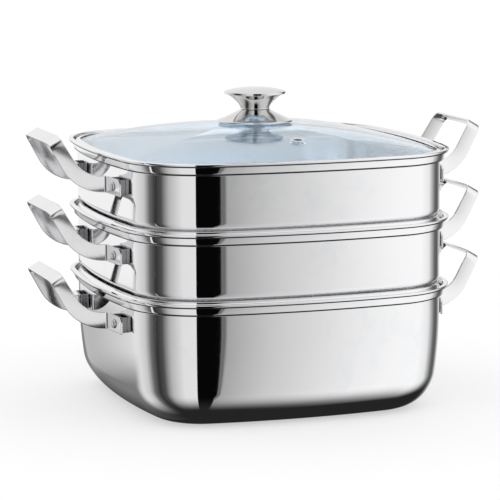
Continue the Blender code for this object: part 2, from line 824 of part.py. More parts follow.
def cap_profile():
    """Profile of the crowned disc that closes the top of the knob."""
    inner = GRIP_TOP_RISE + REST_GAP
    edge_top = inner + CAP_EDGE_HEIGHT
    profile = [(0, edge_top + CAP_CROWN)]
    for radius_share, height_share in CAP_SHARES:
        profile.append((CAP_RADIUS * radius_share, edge_top + CAP_CROWN * height_share))
    return profile + [
        (CAP_RADIUS, edge_top),
        (CAP_RADIUS, inner - CAP_LIP_DROP),
        (GRIP_RIM_RADIUS + REST_GAP, inner - CAP_LIP_DROP),
        (GRIP_RIM_RADIUS + REST_GAP, inner),
        (0, inner),
    ]


def washer_profile(radius, top, thickness):
    """Profile of a washer round the knob's screw."""
    bore = SCREW_RADIUS + 2 * BORE_CLEARANCE
    return [(bore, top), (radius, top), (radius, top - thickness), (bore, top - thickness)]


def make_knob(collection, finishes, parent):
    """The knob, its screw and its washers, stacked on the glass."""
    _, _, glass_top = lid_levels()
    knob = add_empty("knob_frame", collection, glass_top + GLASS_RISE, parent)
    steel = finishes["knob_steel"]
    silicone = finishes["silicone"]
    gasket_top = REST_GAP + GASKET_THICKNESS
    turned_object(
        "knob_gasket", washer_profile(GASKET_RADIUS, gasket_top, GASKET_THICKNESS),
        SCREW_SEGMENTS, collection, silicone, knob, closed=True)
    turned_object(
        "knob_skirt", skirt_profile(), KNOB_SEGMENTS, collection, steel, knob, closed=True)
    turned_object("knob_grip", grip_profile(), KNOB_SEGMENTS, collection, steel, knob)
    turned_object("knob_cap", cap_profile(), KNOB_SEGMENTS, collection, steel, knob)
    seal_top = -GLASS_THICKNESS - REST_GAP
    washer_top = seal_top - GASKET_THICKNESS - REST_GAP
    head_top = washer_top - WASHER_THICKNESS - REST_GAP
    turned_object(
        "inner_gasket", washer_profile(GASKET_RADIUS, seal_top, GASKET_THICKNESS),
        SCREW_SEGMENTS, collection, silicone, knob, closed=True)
    turned_object(
        "inner_washer", washer_profile(WASHER_RADIUS, washer_top, WASHER_THICKNESS),
        SCREW_SEGMENTS, collection, finishes["rivet_steel"], knob, closed=True)
    head_bottom = head_top - SCREW_HEAD_HEIGHT
    screw_profile = [
        (0, SCREW_REACH),
        (SCREW_RADIUS, SCREW_REACH),
        (SCREW_RADIUS, head_top),
        (SCREW_HEAD_RADIUS, head_top),
        (SCREW_HEAD_RADIUS, head_bottom + SCREW_HEAD_ROUND),
        (SCREW_HEAD_RADIUS - SCREW_HEAD_ROUND, head_bottom),
        (0, head_bottom),
    ]
    turned_object(
        "knob_screw", screw_profile, SCREW_SEGMENTS, collection, finishes["rivet_steel"], knob)


def make_lid(collection, cutters, finishes, parent):
    """The whole lid, resting on the ledge of the upper tier's collar."""
    make_lid_rim(collection, finishes["polished_steel"], parent)
    make_rim_gasket(collection, finishes["silicone"], parent)
    make_lid_glass(collection, cutters, finishes["tinted_glass"], parent)
    make_vent(collection, finishes["rivet_steel"], parent)
    make_knob(collection, finishes, parent)


def main():
    """Build the steamer from the pot up."""
    remove_all_objects()
    parts = new_collection("square_steamer")
    cutters = new_collection("cutters")
    finishes = {name: make_finish(name) for name in FINISHES}
    steel = finishes["polished_steel"]
    pot = add_empty("pot_frame", parts, POT_HEIGHT)
    lower = add_empty("lower_tier_frame", parts, TIER_PITCH, pot)
    upper = add_empty("upper_tier_frame", parts, TIER_PITCH, lower)
    lid = add_empty("lid_frame", parts, 0, upper)
    make_pot_body(parts, steel, pot)
    make_tier_body("lower_tier_body", parts, cutters, steel, lower)
    make_tier_body("upper_tier_body", parts, cutters, steel, upper)
    for prefix, frame in (("pot", pot), ("lower_tier", lower), ("upper_tier", upper)):
        for side in ("left", "right"):
            make_handle(prefix, side, parts, cutters, finishes, frame)
    make_lid(parts, cutters, finishes, lid)
    bpy.context.view_layer.update()


main()
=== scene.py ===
"""Square stovetop steamer: its visual model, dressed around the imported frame.

Metres, +Z up, in the frame's own place. Every vessel, handle, lid and knob piece is
a surface worked out with numpy from the same sizes as the solids, and replaces its
faceted node. The finishes are node materials on Object coordinates.
"""

import logging
import math
from dataclasses import dataclass, field
from enum import Enum

import bpy
import numpy as np
from mathutils import Matrix, Vector, geometry


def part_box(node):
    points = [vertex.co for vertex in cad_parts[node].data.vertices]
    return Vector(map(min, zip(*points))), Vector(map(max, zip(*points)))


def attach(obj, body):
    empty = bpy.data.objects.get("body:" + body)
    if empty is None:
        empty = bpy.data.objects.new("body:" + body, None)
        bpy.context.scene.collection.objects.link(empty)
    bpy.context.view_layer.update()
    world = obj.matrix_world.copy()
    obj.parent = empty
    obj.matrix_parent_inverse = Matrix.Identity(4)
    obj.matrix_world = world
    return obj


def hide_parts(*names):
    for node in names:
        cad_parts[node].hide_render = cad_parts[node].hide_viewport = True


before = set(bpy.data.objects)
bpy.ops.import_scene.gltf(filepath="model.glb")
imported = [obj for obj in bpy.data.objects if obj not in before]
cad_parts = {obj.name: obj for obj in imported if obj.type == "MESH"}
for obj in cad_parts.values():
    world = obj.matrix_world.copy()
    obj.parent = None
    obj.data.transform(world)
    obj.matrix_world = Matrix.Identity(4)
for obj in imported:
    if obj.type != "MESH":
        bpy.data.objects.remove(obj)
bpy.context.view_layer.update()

LOG = logging.getLogger("square_steamer")

WELD = 1e-7
TINY = 1e-12
MERGE = 1e-9
REST = 0.0003
SHARP = 40.0
ROLL_RISE = 0.000042

LINE_DETAIL = 3.0
CLOUD_DETAIL = 4.0
SMUDGE_DETAIL = 2.0
SMUDGE_TWIST = 0.8
CLOUD_EDGE = (0.42, 0.72)
SMUDGE_EDGE = (0.45, 0.70)
SMUDGE_LEAST = 0.35
WEAR_EDGE = (0.52, 0.62)
BREAK_EDGE = (0.35, 0.65)


class Vessel(Enum):
    """The three stacked vessels, by the name of the body that each one is."""

    POT = "pot"
    LOWER_TIER = "lower_tier"
    UPPER_TIER = "upper_tier"

    @property
    def lip(self) -> float:
        """Height of the top of the vessel's lip: its solid's, less its bead's rise."""
        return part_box(f"{self.value}_body")[1].z - ROLL_RISE


class Side(Enum):
    """Which side a handle is on: its name and the sign of its X."""

    LEFT = ("left", -1)
    RIGHT = ("right", 1)


class End(Enum):
    """Which end of a handle a bracket holds: its name and the sign of its Y."""

    FRONT = ("front", -1)
    BACK = ("back", 1)


def unit(vectors: np.ndarray) -> np.ndarray:
    """Vectors of the last axis, scaled to length one.

    Args:
        vectors: Array whose last axis holds the coordinates.

    Returns:
        Array of the same shape.
    """
    return vectors / np.maximum(np.linalg.norm(vectors, axis=-1, keepdims=True), TINY)


def right_of(ways: np.ndarray) -> np.ndarray:
    """Directions turned a quarter clockwise: (x, y) becomes (y, -x)."""
    return np.stack([ways[..., 1], -ways[..., 0]], -1)


def round_corners(points: object, radii: object, steps: int = 6, rest: float = REST) -> np.ndarray:
    """Profile with each inner corner turned into an arc that is tangent to both runs.

    The arc starts a setback of radius times tan(turn / 2) before the corner, and its
    centre lies off the first run by the radius, on the side of the turn. One more
    point a short rest away on either run keeps the flats flat under smooth shading.

    Args:
        points: Corner points, shape (n, 2).
        radii: Radius at each of the n - 2 inner corners.
        steps: Segments to an arc.
        rest: Most distance of the two extra points from the arc's ends.

    Returns:
        The rounded profile, shape (m, 2).
    """
    points = np.asarray(points, float)
    radii = np.asarray(radii, float)[:, None]
    runs = points[1:] - points[:-1]
    ways = unit(runs)
    arriving, leaving = ways[:-1], ways[1:]
    cross = arriving[:, 0] * leaving[:, 1] - arriving[:, 1] * leaving[:, 0]
    turn = np.arctan2(cross, (arriving * leaving).sum(1))
    setback = radii * np.abs(np.tan(turn / 2))[:, None]
    used = np.concatenate([[[0.0]], setback, [[0.0]]])
    spare = np.linalg.norm(runs, axis=1)[:, None] - used[:-1] - used[1:]
    rests = np.clip(spare / 3, WELD * 10, rest)
    start = points[1:-1] - arriving * setback
    centre = start - right_of(arriving) * np.sign(turn)[:, None] * radii
    angles = turn[:, None] * np.linspace(0, 1, steps + 1)[None, :]
    arm = (start - centre)[:, None]
    cos, sin = np.cos(angles)[..., None], np.sin(angles)[..., None]
    arc = centre[:, None] + arm * cos - right_of(arm) * sin
    before = (start - arriving * rests[:-1])[:, None]
    after = (points[1:-1] + leaving * (setback + rests[1:]))[:, None]
    middle = np.concatenate([before, arc, after], 1).reshape(-1, 2)
    return np.concatenate([points[:1], middle, points[-1:]])


def round_loop(points: object, radii: object, steps: int = 6, rest: float = REST) -> np.ndarray:
    """Closed outline with every corner rounded as round_corners does.

    Args:
        points: Corner points in order, shape (n, 2).
        radii: Radius at each of the n corners.
        steps: Segments to an arc.
        rest: Most distance of the extra points from an arc's ends.

    Returns:
        The rounded outline without a repeated point, shape (m, 2).
    """
    points = np.asarray(points, float)
    middle = (points[:1] + points[-1:]) / 2
    opened = np.concatenate([middle, points, middle])
    return round_corners(opened, radii, steps, rest)[:-1]


def offset_right(profile: np.ndarray, distance: float) -> np.ndarray:
    """Profile moved to the right of its own direction by a distance.

    Each point moves along the mean of its two runs' normals, lengthened so that both
    runs keep the full distance.

    Args:
        profile: Points, shape (n, 2).
        distance: How far to move.

    Returns:
        The moved profile, shape (n, 2).
    """
    normals = right_of(unit(np.diff(profile, axis=0)))
    first = np.concatenate([normals[:1], normals])
    second = np.concatenate([normals, normals[-1:]])
    middle = unit(first + second)
    return profile + middle * distance / (middle * first).sum(1, keepdims=True)


def carried(points: np.ndarray, place: Matrix) -> np.ndarray:
    """Points of the last axis, carried to a place.

    Args:
        points: Array whose last axis holds x, y and z.
        place: Matrix from the points' own axes to the frame.

    Returns:
        Array of the same shape.
    """
    matrix = np.array(place)
    return points @ matrix[:3, :3].T + matrix[:3, 3]


def flowing(points: object, steps: int = 8) -> np.ndarray:
    """Smooth curve through the given points, a cubic between each two of them.

    The slope at a point is half the way between its neighbours, as in a Catmull-Rom
    curve, and each span is cut into equal steps.

    Args:
        points: Points of the curve, shape (n, 2).
        steps: Segments to a span.

    Returns:
        Points of the curve, shape ((n - 1) * steps + 1, 2).
    """
    points = np.asarray(points, float)
    padded = np.concatenate([2 * points[:1] - points[1:2], points, 2 * points[-1:] - points[-2:-1]])
    a, b, c, d = (padded[first:len(padded) - 3 + first, None] for first in range(4))
    t = np.linspace(0, 1, steps, endpoint=False)[None, :, None]
    cubic = 3 * b - a - 3 * c + d
    square = 2 * a - 5 * b + 4 * c - d
    curve = b + ((c - a) * t + square * t ** 2 + cubic * t ** 3) / 2
    return np.concatenate([curve.reshape(-1, 2), points[-1:]])


def bend(before: np.ndarray, corner: np.ndarray, after: np.ndarray, radius: float,
         steps: int) -> np.ndarray:
    """Arc in space that rounds the corner between two straight runs.

    It starts radius times tan(turn / 2) before the corner. A point on it is the centre
    plus the radius times (sine along the first run, less cosine along the inside).

    Args:
        before: Point on the run that arrives.
        corner: The corner.
        after: Point on the run that leaves.
        radius: Radius of the arc.
        steps: Segments of the arc.

    Returns:
        Points of the arc, shape (steps + 1, 3).
    """
    arriving, leaving = unit(corner - before), unit(after - corner)
    turn = math.acos(float(np.clip(arriving @ leaving, -1, 1)))
    inward = unit(leaving - arriving * (arriving @ leaving))
    centre = corner - arriving * radius * math.tan(turn / 2) + inward * radius
    angle = np.linspace(0, turn, steps + 1)[:, None]
    return centre + radius * (np.sin(angle) * arriving - np.cos(angle) * inward)


class Surface:
    """Grids of points that are welded into one closed mesh."""

    def __init__(self) -> None:
        """Start with no points and no faces."""
        self.points: list[np.ndarray] = []
        self.quads: list[np.ndarray] = []
        self.slots: list[np.ndarray] = []
        self.count = 0

    def grid(self, points: np.ndarray, wrap_columns: bool = True, wrap_rows: bool = False,
             slot: object = 0) -> None:
        """Add a grid of points, and the faces between neighbours.

        Args:
            points: Shape (rows, columns, 3).
            wrap_columns: Join the last column to the first.
            wrap_rows: Join the last row to the first.
            slot: Material slot of the faces, or one for each row of faces.
        """
        rows, columns = points.shape[:2]
        index = np.arange(rows * columns).reshape(rows, columns)
        if wrap_rows:
            index = np.concatenate([index, index[:1]])
        if wrap_columns:
            index = np.concatenate([index, index[:, :1]], 1)
        quads = np.stack([index[:-1, :-1], index[1:, :-1], index[1:, 1:], index[:-1, 1:]], -1)
        by_row = np.broadcast_to(np.asarray(slot), (len(quads),))
        self.points.append(points.reshape(-1, 3))
        self.quads.append(quads.reshape(-1, 4) + self.count)
        self.slots.append(np.repeat(by_row, quads.shape[1]))
        self.count += rows * columns

    def faces(self, points: np.ndarray, triangles: np.ndarray, slot: int = 0) -> None:
        """Add points and triangles between them.

        Args:
            points: Shape (n, 3).
            triangles: Point indices, shape (m, 3).
            slot: Material slot of the faces.
        """
        self.points.append(points)
        self.quads.append(np.concatenate([triangles, triangles[:, -1:]], 1) + self.count)
        self.slots.append(np.full(len(triangles), slot))
        self.count += len(points)

    def build(self, name: str, finishes: list[bpy.types.Material]) -> bpy.types.Object:
        """Weld the grids, point the faces outwards and make the object.

        Points closer than the weld distance become one. A face with two corners alike
        becomes a triangle. The mesh's volume, a third of the sum of each face's corner
        times its normal, is positive when the faces point outwards.

        Args:
            name: Name of the piece.
            finishes: One material for each slot.

        Returns:
            The new object, at the origin.
        """
        points = np.concatenate(self.points)
        keys = np.round(points / WELD).astype(np.int64)
        _, first, welded = np.unique(keys, axis=0, return_index=True, return_inverse=True)
        points = points[first]
        quads = welded.reshape(-1)[np.concatenate(self.quads)]
        slots = np.concatenate(self.slots)
        same = quads == np.roll(quads, -1, axis=1)
        whole, pinched = same.sum(1) == 0, same.sum(1) == 1
        triangles = quads[pinched][~same[pinched]].reshape(-1, 3)
        quads = quads[whole]
        slots = np.concatenate([slots[whole], slots[pinched]])
        parts = np.concatenate([quads[:, :3], quads[:, [0, 2, 3]], triangles])
        a, b, c = (points[parts[:, corner]] for corner in range(3))
        if (a * np.cross(b, c)).sum() < 0:
            quads, triangles = quads[:, ::-1], triangles[:, ::-1]
        mesh = bpy.data.meshes.new(name)
        mesh.from_pydata(points.tolist(), [], quads.tolist() + triangles.tolist())
        mesh.polygons.foreach_set("material_index", slots.astype(np.int32))
        for finish in finishes:
            mesh.materials.append(finish)
        mesh.shade_smooth()
        mesh.set_sharp_from_angle(angle=math.radians(SHARP))
        mesh.update()
        piece = bpy.data.objects.new(name, mesh)
        bpy.context.scene.collection.objects.link(piece)
        return piece


@dataclass(frozen=True)
class Plan:
    """Rounded square whose bowed sides run into its corner arcs without a kink."""

    body: float = 0.1515
    side_radius: float = 0.634
    corner_radius: float = 0.068
    side_steps: int = 28
    corner_steps: int = 20

    @property
    def side_centre(self) -> float:
        """Centre of the arc of the side that faces +X."""
        return self.body - self.side_radius

    @property
    def corner_centre(self) -> float:
        """Distance of a corner's centre from either mid-plane."""
        reach = self.side_radius - self.corner_radius
        return (self.side_centre + math.sqrt(2 * reach ** 2 - self.side_centre ** 2)) / 2

    @property
    def half_bow(self) -> float:
        """Half the angle that one bowed side sweeps."""
        return math.atan2(self.corner_centre, self.corner_centre - self.side_centre)

    def outline(self, half_width: object) -> np.ndarray:
        """Outlines at the given half-widths, all offsets of one another.

        A column is one direction of the outline's normal. Its point is the centre of
        the side's arc, or of the corner's, plus that arc's radius along the normal.

        Args:
            half_width: Distance from the mid-plane to the middle of a side, per row.

        Returns:
            Points in plan, anticlockwise, shape (rows, columns, 2).
        """
        grow = np.atleast_1d(np.asarray(half_width, float))[:, None] - self.body
        bow, diagonal = self.half_bow, math.pi / 4
        normal = np.concatenate([
            np.linspace(-diagonal, -bow, self.corner_steps, endpoint=False),
            np.linspace(-bow, bow, self.side_steps, endpoint=False),
            np.linspace(bow, diagonal, self.corner_steps, endpoint=False)])
        on_side = np.abs(normal) < bow
        radius = np.where(on_side, self.side_radius, self.corner_radius) + grow
        x = np.where(on_side, self.side_centre, self.corner_centre) + radius * np.cos(normal)
        y = np.where(on_side, 0.0, np.sign(normal) * self.corner_centre) + radius * np.sin(normal)
        turns = np.arange(4)[None, :, None] * math.pi / 2
        x, y = x[:, None], y[:, None]
        turned_x = x * np.cos(turns) - y * np.sin(turns)
        turned_y = x * np.sin(turns) + y * np.cos(turns)
        return np.stack([turned_x, turned_y], -1).reshape(len(grow), -1, 2)

    def rings(self, profile: np.ndarray) -> np.ndarray:
        """Rings in space for a profile of half-widths and heights.

        Args:
            profile: Shape (rows, 2).

        Returns:
            Points, shape (rows, columns, 3).
        """
        flat = self.outline(profile[:, 0])
        height = np.broadcast_to(profile[:, 1][:, None, None], (*flat.shape[:2], 1))
        return np.concatenate([flat, height], -1)

    def shrunk(self, half_width: float, shares: np.ndarray, heights: np.ndarray) -> np.ndarray:
        """Rings that are scaled copies of one outline, for floors and the dome.

        Args:
            half_width: Half-width of the outline that is scaled.
            shares: Scale of each ring.
            heights: Height of each ring.

        Returns:
            Points, shape (rings, columns, 3).
        """
        flat = self.outline(half_width) * shares[:, None, None]
        height = np.broadcast_to(heights[:, None, None], (*flat.shape[:2], 1))
        return np.concatenate([flat, height], -1)


PLAN = Plan()


def turned(name: str, profile: np.ndarray, finish: bpy.types.Material, place: Matrix,
           columns: int = 72, closed: bool = False) -> bpy.types.Object:
    """Piece turned about its own axis.

    The point at an angle is (radius cos, radius sin, height), carried to its place.

    Args:
        name: Name of the piece.
        profile: Radii and heights, from axis to axis, or a loop where closed.
        finish: Its material.
        place: Matrix from the piece's own axis to the frame.
        columns: Points round the axis.
        closed: The profile is a loop round a bore.

    Returns:
        The new object.
    """
    angle = np.linspace(0, 2 * math.pi, columns, endpoint=False)[None, :]
    radius = profile[:, 0][:, None]
    height = np.broadcast_to(profile[:, 1][:, None], (len(profile), columns))
    points = np.stack([radius * np.cos(angle), radius * np.sin(angle), height], -1)
    surface = Surface()
    surface.grid(carried(points, place), wrap_rows=closed)
    return surface.build(name, [finish])


@dataclass(frozen=True)
class Strip:
    """Flat strip carried along a path, with rounded long edges and eased ends."""

    path: np.ndarray
    width_way: np.ndarray
    upper: np.ndarray
    lower: np.ndarray
    thickness: float
    edge: float
    arc_steps: int = 5

    def build(self, name: str, finish: bpy.types.Material) -> bpy.types.Object:
        """Make the strip.

        Its section is a rounded rectangle: a corner's centre stands in from both faces
        by the edge radius, and the points run round it on an arc. The thickness lies
        along the cross product of the path's direction and the width's. An end is a
        quarter round: the section draws in by edge times (1 - cos) as it moves out by
        edge times sin, and the last ring folds onto the middle of the sheet.

        Args:
            name: Name of the piece.
            finish: Its material.

        Returns:
            The new object.
        """
        spans = unit(np.diff(self.path, axis=0))
        along = unit(np.concatenate([spans[:1], spans[:-1] + spans[1:], spans[-1:]]))
        lift = (self.width_way * along).sum(1, keepdims=True)
        width_way = unit(self.width_way - along * lift)
        through = np.cross(along, width_way)
        swing = np.linspace(0, math.pi / 2, self.arc_steps + 1)
        turn = (np.arange(4)[:, None] * math.pi / 2 + swing[None, :]).reshape(-1)
        side_a = np.repeat([1, -1, -1, 1], len(swing))
        side_b = np.repeat([1, 1, -1, -1], len(swing))

        ease = np.linspace(0, math.pi / 2, self.arc_steps)
        last = len(self.path) - 1
        level = np.zeros(last - 1)
        drawn = 1 - np.cos(ease)
        inset = np.concatenate([drawn[::-1], level, drawn])[:, None] * self.edge
        moved = 1 - np.sin(ease)
        shift = np.concatenate([moved[::-1], level, -moved])[:, None]
        row = np.concatenate([np.zeros(len(ease), int), np.arange(1, last), np.full(len(ease), last)])
        reach = np.where(side_a[None, :] > 0, self.upper[row][:, None], -self.lower[row][:, None])
        across = reach + self.edge * (np.cos(turn) - side_a)[None, :] - side_a[None, :] * inset
        half = self.thickness / 2
        depth = side_b * (half - self.edge) + self.edge * np.sin(turn)
        depth = depth[None, :] * (1 - inset / half)
        middle = self.path[row] + along[row] * shift * self.edge
        rings = middle[:, None] + across[..., None] * width_way[row][:, None]
        rings = rings + depth[..., None] * through[row][:, None]
        flat_first = middle[0] + across[0][:, None] * width_way[0]
        flat_last = middle[-1] + across[-1][:, None] * width_way[-1]
        surface = Surface()
        surface.grid(np.concatenate([flat_first[None], rings, flat_last[None]]))
        return surface.build(name, [finish])


class Nodes:
    """Adds nodes to a tree and links them."""

    def __init__(self, tree: bpy.types.NodeTree) -> None:
        """Keep the tree."""
        self.tree = tree

    def add(self, kind: str, **values: object) -> bpy.types.Node:
        """Add a node of a kind and set its properties."""
        node = self.tree.nodes.new(kind)
        for key, value in values.items():
            setattr(node, key, value)
        return node

    def put(self, value: object, socket: bpy.types.NodeSocket) -> None:
        """Link a socket to another, or set it to a plain value."""
        if isinstance(value, bpy.types.NodeSocket):
            self.tree.links.new(value, socket)
        else:
            socket.default_value = value

    def math(self, operation: str, first: object, second: object = 0.0,
             clamp: bool = False) -> bpy.types.NodeSocket:
        """Add a Math node on sockets or numbers, and return its output.

        Args:
            operation: Name of the operation.
            first: First socket or number.
            second: Second socket or number.
            clamp: Keep the result between 0 and 1.

        Returns:
            The output socket.
        """
        node = self.add("ShaderNodeMath", operation=operation, use_clamp=clamp)
        self.put(first, node.inputs[0])
        self.put(second, node.inputs[1])
        return node.outputs[0]

    def mix(self, share: object, first: object, second: object, kind: str = "RGBA") -> bpy.types.NodeSocket:
        """Add a Mix node and return its result.

        Args:
            share: Share of the second value.
            first: First colour or number.
            second: Second colour or number.
            kind: RGBA or FLOAT.

        Returns:
            The output socket.
        """
        node = self.add("ShaderNodeMix", data_type=kind)
        entries = [socket for socket in node.inputs if socket.enabled]
        for value, socket in zip((share, first, second), entries):
            self.put(value, socket)
        return next(socket for socket in node.outputs if socket.enabled)

    def smooth(self, value: object, low: float, high: float) -> bpy.types.NodeSocket:
        """Rise smoothly from 0 at low to 1 at high."""
        node = self.add("ShaderNodeMapRange", interpolation_type="SMOOTHSTEP")
        for entry, socket in zip((value, low, high), node.inputs):
            self.put(entry, socket)
        return node.outputs[0]


def new_group(name: str, inputs: dict[str, float], outputs: dict[str, str]) -> Nodes:
    """Start a node group with named sockets.

    Args:
        name: Name of the group.
        inputs: Name and default of each number that goes in.
        outputs: Name and socket type of what comes out.

    Returns:
        The nodes of the new group.
    """
    tree = bpy.data.node_groups.new(name, "ShaderNodeTree")
    for label, value in inputs.items():
        socket = tree.interface.new_socket(label, in_out="INPUT", socket_type="NodeSocketFloat")
        socket.default_value = value
    for label, kind in outputs.items():
        tree.interface.new_socket(label, in_out="OUTPUT", socket_type=kind)
    return Nodes(tree)


def polish_lines() -> bpy.types.NodeTree:
    """Faint lines that the polishing wheel leaves round a piece.

    Returns:
        Group with the lines as a mask and as a height.
    """
    nodes = new_group("polish_lines", {"Fineness": 900.0, "Stretch": 14.0},
                      {"Mask": "NodeSocketFloat", "Height": "NodeSocketFloat"})
    inside, outside = nodes.add("NodeGroupInput"), nodes.add("NodeGroupOutput")
    split = nodes.add("ShaderNodeSeparateXYZ")
    nodes.put(nodes.add("ShaderNodeTexCoord").outputs["Object"], split.inputs[0])
    join = nodes.add("ShaderNodeCombineXYZ")
    nodes.put(split.outputs[0], join.inputs[0])
    nodes.put(split.outputs[1], join.inputs[1])
    nodes.put(nodes.math("MULTIPLY", split.outputs[2], inside.outputs["Stretch"]), join.inputs[2])
    noise = nodes.add("ShaderNodeTexNoise")
    noise.inputs["Detail"].default_value = LINE_DETAIL
    scale = nodes.math("DIVIDE", inside.outputs["Fineness"], inside.outputs["Stretch"])
    nodes.put(scale, noise.inputs["Scale"])
    nodes.put(join.outputs[0], noise.inputs["Vector"])
    nodes.put(noise.outputs["Fac"], outside.inputs["Height"])
    nodes.put(nodes.math("POWER", noise.outputs["Fac"], 2.0), outside.inputs["Mask"])
    return nodes.tree


def handling_marks() -> bpy.types.NodeTree:
    """Marks of use: soft wiped clouds with smaller finger smudges in them.

    Returns:
        Group with the marks as a mask.
    """
    nodes = new_group("handling_marks", {"Cloud Size": 9.0, "Smudge Size": 55.0},
                      {"Mask": "NodeSocketFloat"})
    inside, outside = nodes.add("NodeGroupInput"), nodes.add("NodeGroupOutput")
    place = nodes.add("ShaderNodeTexCoord").outputs["Object"]
    clouds = nodes.add("ShaderNodeTexNoise")
    clouds.inputs["Detail"].default_value = CLOUD_DETAIL
    smudges = nodes.add("ShaderNodeTexNoise")
    smudges.inputs["Detail"].default_value = SMUDGE_DETAIL
    smudges.inputs["Distortion"].default_value = SMUDGE_TWIST
    nodes.put(inside.outputs["Cloud Size"], clouds.inputs["Scale"])
    nodes.put(inside.outputs["Smudge Size"], smudges.inputs["Scale"])
    nodes.put(place, clouds.inputs["Vector"])
    nodes.put(place, smudges.inputs["Vector"])
    wide = nodes.smooth(clouds.outputs["Fac"], *CLOUD_EDGE)
    fine = nodes.smooth(smudges.outputs["Fac"], *SMUDGE_EDGE)
    marks = nodes.math("MULTIPLY", wide, nodes.math("ADD", fine, SMUDGE_LEAST), clamp=True)
    nodes.put(marks, outside.inputs["Mask"])
    return nodes.tree


def edge_wear() -> bpy.types.NodeTree:
    """Rubbed edges: where the surface is sharply convex, broken up by a fine noise.

    Returns:
        Group with the wear as a mask.
    """
    nodes = new_group("edge_wear", {"Break Size": 260.0}, {"Mask": "NodeSocketFloat"})
    inside, outside = nodes.add("NodeGroupInput"), nodes.add("NodeGroupOutput")
    noise = nodes.add("ShaderNodeTexNoise")
    nodes.put(inside.outputs["Break Size"], noise.inputs["Scale"])
    nodes.put(nodes.add("ShaderNodeTexCoord").outputs["Object"], noise.inputs["Vector"])
    sharp = nodes.smooth(nodes.add("ShaderNodeNewGeometry").outputs["Pointiness"], *WEAR_EDGE)
    broken = nodes.smooth(noise.outputs["Fac"], *BREAK_EDGE)
    nodes.put(nodes.math("MULTIPLY", sharp, broken), outside.inputs["Mask"])
    return nodes.tree


@dataclass(frozen=True)
class Effects:
    """The node groups that the finishes share."""

    lines: bpy.types.NodeTree
    marks: bpy.types.NodeTree
    wear: bpy.types.NodeTree


def new_material(name: str) -> tuple[bpy.types.Material, Nodes, bpy.types.Node]:
    """Start a material of nodes, and return it, its nodes and its shader."""
    material = bpy.data.materials.new(name)
    material.use_nodes = True
    return material, Nodes(material.node_tree), material.node_tree.nodes["Principled BSDF"]


@dataclass(frozen=True)
class Coat:
    """Colour and gloss of a surface where it is clean and where it is marked."""

    clean: tuple[float, float, float]
    marked: tuple[float, float, float]
    roughness: float
    marks: float

    def spread(self, nodes: Nodes, shader: bpy.types.Node, effects: Effects) -> bpy.types.NodeSocket:
        """Colour the shader, and work out how rough the marks leave it.

        Args:
            nodes: Nodes of the material.
            shader: Its shader.
            effects: The shared node groups.

        Returns:
            The roughness, also linked to the shader.
        """
        marks = nodes.add("ShaderNodeGroup", node_tree=effects.marks).outputs["Mask"]
        colour = nodes.mix(marks, (*self.clean, 1.0), (*self.marked, 1.0))
        nodes.put(colour, shader.inputs["Base Color"])
        rough = nodes.math("ADD", nodes.math("MULTIPLY", marks, self.marks), self.roughness)
        nodes.put(rough, shader.inputs["Roughness"])
        return rough


@dataclass(frozen=True)
class Steel:
    """Bare stainless steel: how bright, how smooth and how marked it is."""

    name: str
    coat: Coat
    lines: float
    fineness: float = 900.0
    stretch: float = 14.0
    relief: float = 0.05
    grain_depth: float = 0.00004
    worn: float = 0.10
    metallic: float = 1.0

    def build(self, effects: Effects) -> bpy.types.Material:
        """Make the material: marks dull it, lines and worn edges roughen it.

        Args:
            effects: The shared node groups.

        Returns:
            The material.
        """
        material, nodes, shader = new_material(self.name)
        shader.inputs["Metallic"].default_value = self.metallic
        lines = nodes.add("ShaderNodeGroup", node_tree=effects.lines)
        lines.inputs["Fineness"].default_value = self.fineness
        lines.inputs["Stretch"].default_value = self.stretch
        wear = nodes.add("ShaderNodeGroup", node_tree=effects.wear).outputs["Mask"]
        rough = self.coat.spread(nodes, shader, effects)
        rough = nodes.math("ADD", rough, nodes.math("MULTIPLY", lines.outputs["Mask"], self.lines))
        rough = nodes.math("ADD", rough, nodes.math("MULTIPLY", wear, self.worn))
        nodes.put(rough, shader.inputs["Roughness"])
        bump = nodes.add("ShaderNodeBump")
        bump.inputs["Strength"].default_value = self.relief
        bump.inputs["Distance"].default_value = self.grain_depth
        nodes.put(lines.outputs["Height"], bump.inputs["Height"])
        nodes.put(bump.outputs["Normal"], shader.inputs["Normal"])
        return material


@dataclass(frozen=True)
class TintedGlass:
    """Pale blue tempered glass with wiped marks in its gloss."""

    name: str = "tinted_glass"
    coat: Coat = Coat((0.80, 0.91, 1.0), (0.78, 0.895, 0.99), roughness=0.0, marks=0.04)
    index: float = 1.45

    def build(self, effects: Effects) -> bpy.types.Material:
        """Make the material.

        Args:
            effects: The shared node groups.

        Returns:
            The material.
        """
        material, nodes, shader = new_material(self.name)
        shader.inputs["Transmission Weight"].default_value = 1.0
        shader.inputs["IOR"].default_value = self.index
        self.coat.spread(nodes, shader, effects)
        return material


@dataclass(frozen=True)
class Silicone:
    """Milky silicone of the seals."""

    name: str = "silicone"
    coat: Coat = Coat((0.82, 0.83, 0.84), (0.70, 0.71, 0.72), roughness=0.45, marks=0.15)

    def build(self, effects: Effects) -> bpy.types.Material:
        """Make the material.

        Args:
            effects: The shared node groups.

        Returns:
            The material.
        """
        material, nodes, shader = new_material(self.name)
        self.coat.spread(nodes, shader, effects)
        return material


